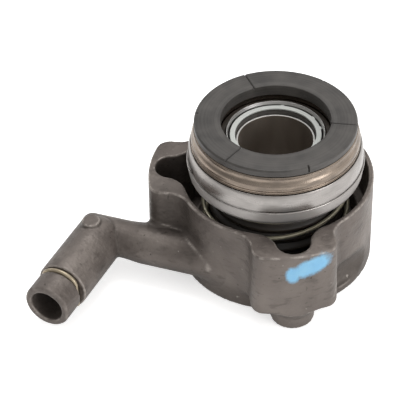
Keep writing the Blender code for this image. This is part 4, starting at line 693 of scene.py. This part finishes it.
# Preload spring: zinc-plated wire with closed ends, which stands on the cup's floor and pushes a
# pressed washer up against the bearing. It closes with the stroke as the bellows does.
def rod(path, thickness, reference, sides=12):
    """A round wire along a path: c + t (cos a s + sin a o), where s is the tangent crossed with the
    reference, o is s crossed with the tangent, and t falls as a quarter circle at both ends."""
    path = np.asarray(path, float)
    travel = np.concatenate([[0.0], np.cumsum(np.linalg.norm(np.diff(path, axis=0), axis=1))])
    quarter = np.linspace(math.radians(15.0), math.pi / 2, 6)
    ends = thickness * (1.0 - np.cos(quarter))
    middle = np.arange(2 * thickness, travel[-1] - 2 * thickness, thickness)
    where = np.concatenate([ends, middle, travel[-1] - ends[::-1]])
    size = np.concatenate([np.sin(quarter), np.ones(len(middle)), np.sin(quarter)[::-1]]) * thickness
    centre, ahead, behind = (np.stack([np.interp(where + d, travel, path[:, n]) for n in range(3)], 1)
                             for d in (0.0, 0.3, -0.3))
    tangent = (ahead - behind) / np.linalg.norm(ahead - behind, axis=1)[:, None]
    side = np.cross(tangent, reference)
    side /= np.linalg.norm(side, axis=1)[:, None]
    over = np.cross(side, tangent)
    turn = np.linspace(0.0, math.tau, sides + 1)[:-1]
    ring = np.cos(turn)[None, :, None] * side[:, None] + np.sin(turn)[None, :, None] * over[:, None]
    return centre[:, None] + size[:, None, None] * ring


SPRING_R, SPRING_WIRE_R, SPRING_TURNS, SPRING_PHASE = 27.0, 0.8, 5.4, math.radians(-30.0)
CLOSED_TURNS, SPRING_LEAN, LEAN_HEADING, CLEARANCE = 0.9, 2.4, math.radians(300.0), 0.3
SPRING_LOW, SPRING_HIGH = FLOOR_Z + CLEARANCE + SPRING_WIRE_R, SEAT_Z - CLEARANCE - SPRING_WIRE_R
spring_wire, tree, shader, place = finish("zinc_spring_wire", 0.5)
dirt = clouds(tree, place, 4.0, 4.0)
zinc = tint(tree, dirt, (0.38, 0.345, 0.240), (0.66, 0.62, 0.48))
cover(tree, shader, zinc, ramp(tree, dirt, 0.3, 0.7, 0.46, 0.30))
relief(tree, shader, (clouds(tree, place, 0.5), 0.012))
turns = np.linspace(0.0, SPRING_TURNS, 400)
closed_rise = 2.2 * SPRING_WIRE_R
stations = [0.0, CLOSED_TURNS, CLOSED_TURNS + 2.0, SPRING_TURNS - CLOSED_TURNS, SPRING_TURNS]
heights = [SPRING_LOW, SPRING_LOW + closed_rise, SPRING_LOW + 3.6 * closed_rise, SPRING_HIGH - closed_rise,
           SPRING_HIGH]
coil = SPRING_PHASE + turns * math.tau
leaning = SPRING_LEAN * np.sin(math.pi * turns / SPRING_TURNS) ** 2 * np.sin(coil - LEAN_HEADING)
rise = np.interp(turns, stations, heights) + leaning
path = np.stack([SPRING_R * np.cos(coil), SPRING_R * np.sin(coil), rise], 1)
points = rod(path, SPRING_WIRE_R, (0.0, 0.0, 1.0))
spring = add_grid("coil_spring", points, ["preload_spring"], None, spring_wire, False)
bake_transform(spring)

SEAT_R, SEAT_BORE, SEAT_TOP = 28.8, 23.6, 37.7
section = [(SEAT_R, SEAT_TOP), (SEAT_R, SEAT_Z), (SEAT_BORE, SEAT_Z), (SEAT_BORE, SEAT_TOP)]
add_turned("spring_washer", section, 0.25, ["spring_seat"], "piston_group", seal_steel)


# Bearing shell: bright pressed steel around the bearing, rolled over at its shoulder, with a thin
# open wire ring snapped into the groove around it.
SHELL_R, SHELL_BORE_R, SHELL_TOP, SHELL_BOTTOM, PLATE_T = 32.3, 31.3, 50.6, 38.0, 0.9
SHELL_HOLE_R, DOME_INSET, DOME_HEIGHT, DOME_SHARE = 17.1, 1.4, 6.0, 0.94
RING_Z, RING_WIRE_R, RING_GROOVE_R, RING_GROOVE_HALF = 43.4, 0.35, 31.8, 0.55
RING_OPEN_AT, RING_OPEN = 221.0, 14.0
shell_steel, tree, shader, place = finish("bright_shell_steel", 1.0)
brushed = lathe_lines(tree, place, 0.5)
soiled = clouds(tree, place, 7.0, 5.0, (1.0, 1.0, 0.35))
shade = tint(tree, ramp(tree, soiled, 0.42, 0.70, 0.0, 1.0), (0.355, 0.335, 0.320), (0.290, 0.273, 0.260))
shade = tint(tree, ramp(tree, brushed, 0.35, 0.65, 0.0, 0.30), shade, (0.42, 0.40, 0.385))
low_band = ramp(tree, split(tree, place)["Z"], RING_Z / 1000.0 - 0.0004, RING_Z / 1000.0, 1.0, 0.0)
dulled = combine(tree, "MULTIPLY", low_band, 0.26)
dulled = combine(tree, "ADD", ramp(tree, soiled, 0.35, 0.7, 0.24, 0.36), dulled)
cover(tree, shader, tint(tree, low_band, shade, (0.43, 0.41, 0.395)), dulled)
relief(tree, shader, (brushed, 0.002), (clouds(tree, place, 6.0), 0.02))
swell = np.linspace(DOME_SHARE, 0.0, 14)
dome = np.stack([SHELL_R - DOME_INSET * (1.0 - np.sqrt(1.0 - swell ** 2)),
                 SHELL_TOP - DOME_HEIGHT * (DOME_SHARE - swell)], 1)
section = [
    (SHELL_BORE_R - 0.22, SHELL_TOP), *dome.tolist(),
    (SHELL_R, RING_Z + RING_GROOVE_HALF), (RING_GROOVE_R, RING_Z + RING_GROOVE_HALF),
    (RING_GROOVE_R, RING_Z - RING_GROOVE_HALF), (SHELL_R - 0.05, RING_Z - RING_GROOVE_HALF),
    (SHELL_R - 0.10, SHELL_BOTTOM + 1.2), (SHELL_R - 0.45, SHELL_BOTTOM + 0.25),
    (SHELL_R - 1.3, SHELL_BOTTOM), (SHELL_HOLE_R, SHELL_BOTTOM), (SHELL_HOLE_R, SHELL_BOTTOM + PLATE_T),
    (SHELL_R - 3 * PLATE_T, SHELL_BOTTOM + PLATE_T),
    (SHELL_BORE_R, SHELL_BOTTOM + 3 * PLATE_T), (SHELL_BORE_R, SHELL_TOP - 0.6),
    (SHELL_BORE_R - 0.22, SHELL_TOP - 0.4)]
add_turned("rolled_shell", section, 0.3, ["bearing_shell"], "piston_group", shell_steel)
opened = math.radians(RING_OPEN_AT + RING_OPEN / 2)
sweep = np.linspace(opened, opened + math.tau - math.radians(RING_OPEN), 241)
ring_r = RING_GROOVE_R + CLEARANCE + RING_WIRE_R
path = np.stack([ring_r * np.cos(sweep), ring_r * np.sin(sweep), np.full_like(sweep, RING_Z)], 1)
points = rod(path, RING_WIRE_R, (0.0, 0.0, 1.0), 10)
add_grid("snap_ring", points, ["shell_snap_ring"], "piston_group", shell_steel, False)


# Stationary race: hardened and ground steel in the shell, with the lower ball groove; its collar
# stands up inside the contact ring, polished, with a chamfer inside its top.
BALL_CIRCLE_R, BALL_Z, BALL_R, BALL_GROOVE_R = 25.2, 46.0, 2.9, 3.2
SPLIT_TILT, SPLIT_HALF, ROTOR_BORE_R = math.radians(30.0), 0.9, 20.6
RACE_R, RACE_BOTTOM, RACE_STEP_R, RACE_STEP_Z = 31.0, 39.2, 29.3, 41.0
COLLAR_R, COLLAR_BORE_R, COLLAR_TOP = 18.0, 17.3, 55.0
ground_steel, tree, shader, place = finish("ground_race_steel", 1.0)
ground = lathe_lines(tree, place, 0.9)
polished = tint(tree, ground, (0.46, 0.45, 0.44), (0.56, 0.55, 0.54))
cover(tree, shader, polished, ramp(tree, clouds(tree, place, 4.0, 2.0), 0.3, 0.7, 0.30, 0.40))
relief(tree, shader, (ground, 0.001))


def beside_split(distance, offset):
    """A point beside the sloping gap between the races, in distances along it and across it."""
    c, s = math.cos(SPLIT_TILT), math.sin(SPLIT_TILT)
    return (BALL_CIRCLE_R + distance * c - offset * s, BALL_Z + distance * s + offset * c)


def ball_groove(start, end):
    """Arc of the ball groove's section between two angles, which are measured from the gap's slope."""
    turn = SPLIT_TILT + np.radians(np.linspace(start, end, 25))
    return list(zip(BALL_CIRCLE_R + BALL_GROOVE_R * np.cos(turn), BALL_Z + BALL_GROOVE_R * np.sin(turn)))


opening = math.degrees(math.asin(SPLIT_HALF / BALL_GROOVE_R))
outer_way = (RACE_R - BALL_CIRCLE_R) / math.cos(SPLIT_TILT)
outer_lip = beside_split(outer_way - 2 * SPLIT_HALF, -SPLIT_HALF)
inner_lip = beside_split(ROTOR_BORE_R - BALL_CIRCLE_R, -SPLIT_HALF)
section = [
    (RACE_R, outer_lip[1]), (RACE_R, RACE_STEP_Z), (RACE_STEP_R, RACE_BOTTOM), (COLLAR_BORE_R, RACE_BOTTOM),
    (COLLAR_BORE_R, COLLAR_TOP - 1.1), (COLLAR_BORE_R + 0.4, COLLAR_TOP - 0.15),
    (COLLAR_BORE_R + 0.45, COLLAR_TOP), (COLLAR_R, COLLAR_TOP), (COLLAR_R, inner_lip[1]), inner_lip,
    *ball_groove(opening - 180.0, -opening), outer_lip]
add_turned("lower_race", section, 0.15, ["stationary_race"], "piston_group", ground_steel)


# Balls and cage: fourteen polished steel balls in a moulded plastic cage between the races.
def add_ball(name, centre, radius, node, body, material):
    """A ball: c + R (sin u cos v, sin u sin v, cos u), with a tiny flat at each pole."""
    u, v = np.radians(np.linspace(3.0, 177.0, 25))[:, None], np.linspace(0.0, math.tau, 37)[None, :-1]
    points = np.stack([np.sin(u) * np.cos(v), np.sin(u) * np.sin(v), np.cos(u) + 0.0 * v], -1)
    add_grid(name, points * radius + np.array(centre), [node], body, material, False)


BALLS = 14
for number in range(BALLS):
    around, node = math.tau * number / BALLS, "ball_%02d" % (number + 1)
    centre = (BALL_CIRCLE_R * math.cos(around), BALL_CIRCLE_R * math.sin(around), BALL_Z)
    add_ball("bearing_" + node, centre, BALL_R, node, "ball_set", ground_steel)
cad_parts["ball_cage"].material_slots[0].material = piston_plastic


# Turning race: pressed and ground steel tinted straw brown by heat, with a hollow band under the
# contact ring and fine ridges over the shell.
ROTOR_R, ROTOR_TOP_R, ROTOR_TOP, ROTOR_SHOULDER, ROTOR_LOW = 31.0, 30.0, 57.6, 52.3, 50.9
BAND_DROP, CONTACT_SEAT_R, CONTACT_SEAT_Z = 0.7, 21.2, 55.9
straw_steel, tree, shader, place = finish("heat_tinted_steel", 1.0)
tarnish = clouds(tree, place, 6.0, 5.0, (1.0, 1.0, 0.3))
turned_lines = lathe_lines(tree, place, 0.7)
straw = tint(tree, ramp(tree, tarnish, 0.35, 0.68, 0.0, 1.0), (0.290, 0.236, 0.192), (0.172, 0.143, 0.120))
straw = tint(tree, ramp(tree, turned_lines, 0.4, 0.7, 0.0, 0.30), straw, (0.36, 0.303, 0.255))
cover(tree, shader, straw, ramp(tree, tarnish, 0.3, 0.7, 0.20, 0.34))
relief(tree, shader, (turned_lines, 0.002))
climb = np.linspace(0.0, 1.0, 25)
band = np.stack([ROTOR_TOP_R - 0.2 + 1.05 * climb - 0.22 * np.sin(math.tau * climb),
                 ROTOR_TOP - BAND_DROP - (ROTOR_TOP - BAND_DROP - ROTOR_SHOULDER - 0.4) * climb], 1)
outer_tip = beside_split(outer_way, SPLIT_HALF + CLEARANCE)
inner_tip = beside_split(ROTOR_BORE_R - BALL_CIRCLE_R + SPLIT_HALF, SPLIT_HALF)
section = [
    (ROTOR_TOP_R - 0.45, ROTOR_TOP), (ROTOR_TOP_R, ROTOR_TOP - 0.4), *band.tolist(),
    (ROTOR_R - 0.12, ROTOR_SHOULDER + 0.3), (ROTOR_R - 0.12, ROTOR_SHOULDER),
    (ROTOR_R - 0.36, ROTOR_SHOULDER - 0.1), (ROTOR_R - 0.36, ROTOR_SHOULDER - 0.3),
    (ROTOR_R - 0.06, ROTOR_SHOULDER - 0.4), (ROTOR_R - 0.06, ROTOR_SHOULDER - 0.8),
    (ROTOR_R - 0.3, ROTOR_SHOULDER - 0.9), (ROTOR_R - 0.3, ROTOR_SHOULDER - 1.1),
    (ROTOR_R, ROTOR_SHOULDER - 1.2), (ROTOR_R, ROTOR_LOW), (ROTOR_R - 0.3, ROTOR_LOW),
    (ROTOR_R - 0.3, outer_tip[1] + SPLIT_HALF), (ROTOR_R - 1.2, outer_tip[1] + SPLIT_HALF),
    *ball_groove(opening, 180.0 - opening), inner_tip, (ROTOR_BORE_R, inner_tip[1] + SPLIT_HALF),
    (ROTOR_BORE_R, CONTACT_SEAT_Z), (CONTACT_SEAT_R, CONTACT_SEAT_Z), (CONTACT_SEAT_R, ROTOR_TOP)]
add_turned("turning_race", section, 0.08, ["rotating_race"], "rotor", straw_steel)


# Bearing seals: a rubber ring outside above the lower race, and a lipped one inside on the collar.
OUTER_SEAL_R, OUTER_SEAL_IN, OUTER_SEAL_T = 31.0, 29.2, 1.3
INNER_SEAL_R, INNER_SEAL_IN, INNER_SEAL_LOW, INNER_SEAL_TOP = 20.3, 19.4, 52.0, 53.8
LIP_ROOT_R, LIP_ROOT_Z, LIP_TIP_R, LIP_TIP_Z = 18.75, 52.9, 18.3, 53.35
seal_low = outer_lip[1] + CLEARANCE
seal_top = seal_low + OUTER_SEAL_T
section = [
    (OUTER_SEAL_R, seal_top), (OUTER_SEAL_R, seal_low), (OUTER_SEAL_IN, seal_low), (OUTER_SEAL_IN, seal_top)]
add_turned("outer_seal", section, 0.25, ["bearing_outer_seal"], "piston_group", seal_rubber)
section = [
    (INNER_SEAL_R, INNER_SEAL_TOP), (INNER_SEAL_R, INNER_SEAL_LOW), (INNER_SEAL_IN, INNER_SEAL_LOW),
    (LIP_ROOT_R, LIP_ROOT_Z), (LIP_TIP_R, LIP_TIP_Z), (LIP_ROOT_R, INNER_SEAL_TOP)]
add_turned("inner_seal", section, 0.15, ["bearing_inner_seal"], "rotor", seal_rubber)


# Contact ring: black moulded plastic that pushes the clutch's fingers. Three slits cross its face,
# and between them three short notches end at its edge; a thin collar goes down inside the race.
RING_R, RING_BORE_R, RING_TOP, RING_LOW, RING_CHAMFER = 29.7, 20.0, 60.6, 57.9, 0.6
RING_COLLAR_R, RING_COLLAR_LOW = 20.9, 56.2
SLIT_HEADINGS, NOTCH_HEADINGS = np.radians((10.5, 130.5, 250.5)), np.radians((70.5, 190.5, 310.5))
SLIT_HALF_WIDTH, SLIT_DEPTH, NOTCH_LENGTH, NOTCH_DEPTH = 0.36, 1.0, 1.5, 2.3
contact_plastic, tree, shader, place = finish("contact_ring_plastic", 0.0)
rubbed = lathe_lines(tree, place, 0.8)
dust = clouds(tree, place, 7.0, 5.0)
black = tint(tree, ramp(tree, dust, 0.35, 0.7, 0.0, 1.0), (0.028, 0.025, 0.023), (0.060, 0.054, 0.049))
black = tint(tree, ramp(tree, rubbed, 0.45, 0.75, 0.0, 0.35), black, (0.11, 0.103, 0.095))
cover(tree, shader, black, ramp(tree, dust, 0.3, 0.7, 0.36, 0.50))
relief(tree, shader, (rubbed, 0.012), (clouds(tree, place, 0.5), 0.012))
notch_r = RING_R - NOTCH_LENGTH
outline = soften([
    (RING_R - RING_CHAMFER, RING_TOP), (RING_R, RING_TOP - RING_CHAMFER), (RING_R, RING_LOW),
    (RING_COLLAR_R, RING_LOW), (RING_COLLAR_R, RING_COLLAR_LOW), (RING_BORE_R, RING_COLLAR_LOW),
    (RING_BORE_R, RING_TOP - 0.27), (RING_BORE_R + 0.27, RING_TOP), (notch_r - 0.1, RING_TOP),
    (notch_r + 0.1, RING_TOP)], 0.25)
cuts = np.concatenate([SLIT_HEADINGS, NOTCH_HEADINGS])
from_cut = np.abs((EVEN_HEADINGS[:, None] - cuts + math.pi) % math.tau - math.pi).min(1)
clear = EVEN_HEADINGS[from_cut > math.radians(3.3)]
across = np.array([-2.6, -1.4, -1.0, -0.8, 0.0, 0.8, 1.0, 1.4, 2.6]) * SLIT_HALF_WIDTH
headings = np.concatenate([clear, np.repeat(cuts, len(across))])
offsets = np.concatenate([np.zeros(len(clear)), np.tile(across, len(cuts))])
is_slit = np.repeat([True] * len(SLIT_HEADINGS) + [False] * len(NOTCH_HEADINGS), len(across))
full = np.concatenate([np.zeros(len(clear), bool), is_slit])
order = np.argsort((headings + np.arcsin(offsets / RING_R)) % math.tau)
headings, offsets, full = headings[order], offsets[order], full[order]
in_cut = np.isin(headings, cuts) & (np.abs(offsets) < 0.9 * SLIT_HALF_WIDTH)
points = spin(outline, headings, offsets)
radius, height = np.hypot(points[..., 0], points[..., 1]), points[..., 2]
bottom = RING_TOP - np.where(full, SLIT_DEPTH, NOTCH_DEPTH)[:, None]
lowered = in_cut[:, None] & (full[:, None] | (radius > notch_r)) & (height > bottom)
points[..., 2] = np.where(lowered, bottom + 0.02 * (height - bottom), height)
add_grid("slotted_contact_ring", points, ["contact_ring"], "rotor", contact_plastic)


# Wire clip: spring wire bent to a bow that lies over the socket's groove; its legs go down through
# the two slots and hold the pushed-in line. It lifts to let the line go.
CLIP_WIRE_R, CLIP_BOW_R, CLIP_DOWN, CLIP_CORNER_R, CLIP_CORNER_TURN = 0.85, 8.35, 6.2, 1.6, 0.18
clip_wire, tree, shader, place = finish("yellow_clip_wire", 0.8)
aged = clouds(tree, place, 3.0, 4.0)
yellowed = tint(tree, aged, (0.31, 0.252, 0.175), (0.45, 0.390, 0.290))
cover(tree, shader, yellowed, ramp(tree, aged, 0.3, 0.7, 0.30, 0.46))
relief(tree, shader, (clouds(tree, place, 0.4), 0.01))
shoulder = math.acos(CLIP_LEG / CLIP_BOW_R)
bow = np.linspace(shoulder + CLIP_CORNER_TURN, math.pi - shoulder - CLIP_CORNER_TURN, 61)
start_z = CLIP_BOW_R * math.sin(shoulder)
blend_in = np.linspace(0.0, 1.0, 9)[1:-1, None]
arch = CLIP_BOW_R * np.stack([np.cos(bow), np.sin(bow)], 1)
leg_end, corner = np.array([CLIP_LEG, start_z - CLIP_CORNER_R]), np.array([CLIP_LEG, start_z])
bend = (1 - blend_in) ** 2 * leg_end + 2 * blend_in * (1 - blend_in) * corner + blend_in ** 2 * arch[0]
leg = np.stack([np.full(20, CLIP_LEG), np.linspace(-CLIP_DOWN, leg_end[1], 20)], 1)
half_way = np.concatenate([leg, bend])
flat = np.concatenate([half_way, arch, half_way[::-1] * (-1.0, 1.0)])
aside_way = np.array([-SOCKET_AXIS[1], SOCKET_AXIS[0], 0.0])
middle = np.array([ELBOW_X, ARM_Y, ARM_Z]) + CLIP_AT * SOCKET_AXIS
path = middle + flat[:, :1] * aside_way + flat[:, 1:] * np.array([0.0, 0.0, 1.0])
points = rod(path, CLIP_WIRE_R, SOCKET_AXIS, 16)
add_grid("line_clip", points, ["wire_clip"], "clip", clip_wire, False)


# Ball plugs: steel balls pressed into the drilled ends of the fluid passage.
ARM_PLUG, ARM_PLUG_R = (-65.5, ARM_Y, ARM_Z), 2.2
RISER_PLUG, RISER_PLUG_R = (-17.5, ARM_Y, 2.5), 1.9
add_ball("arm_plug", ARM_PLUG, ARM_PLUG_R, "elbow_ball", "housing", ground_steel)
add_ball("riser_plug", RISER_PLUG, RISER_PLUG_R, "base_ball", "housing", ground_steel)
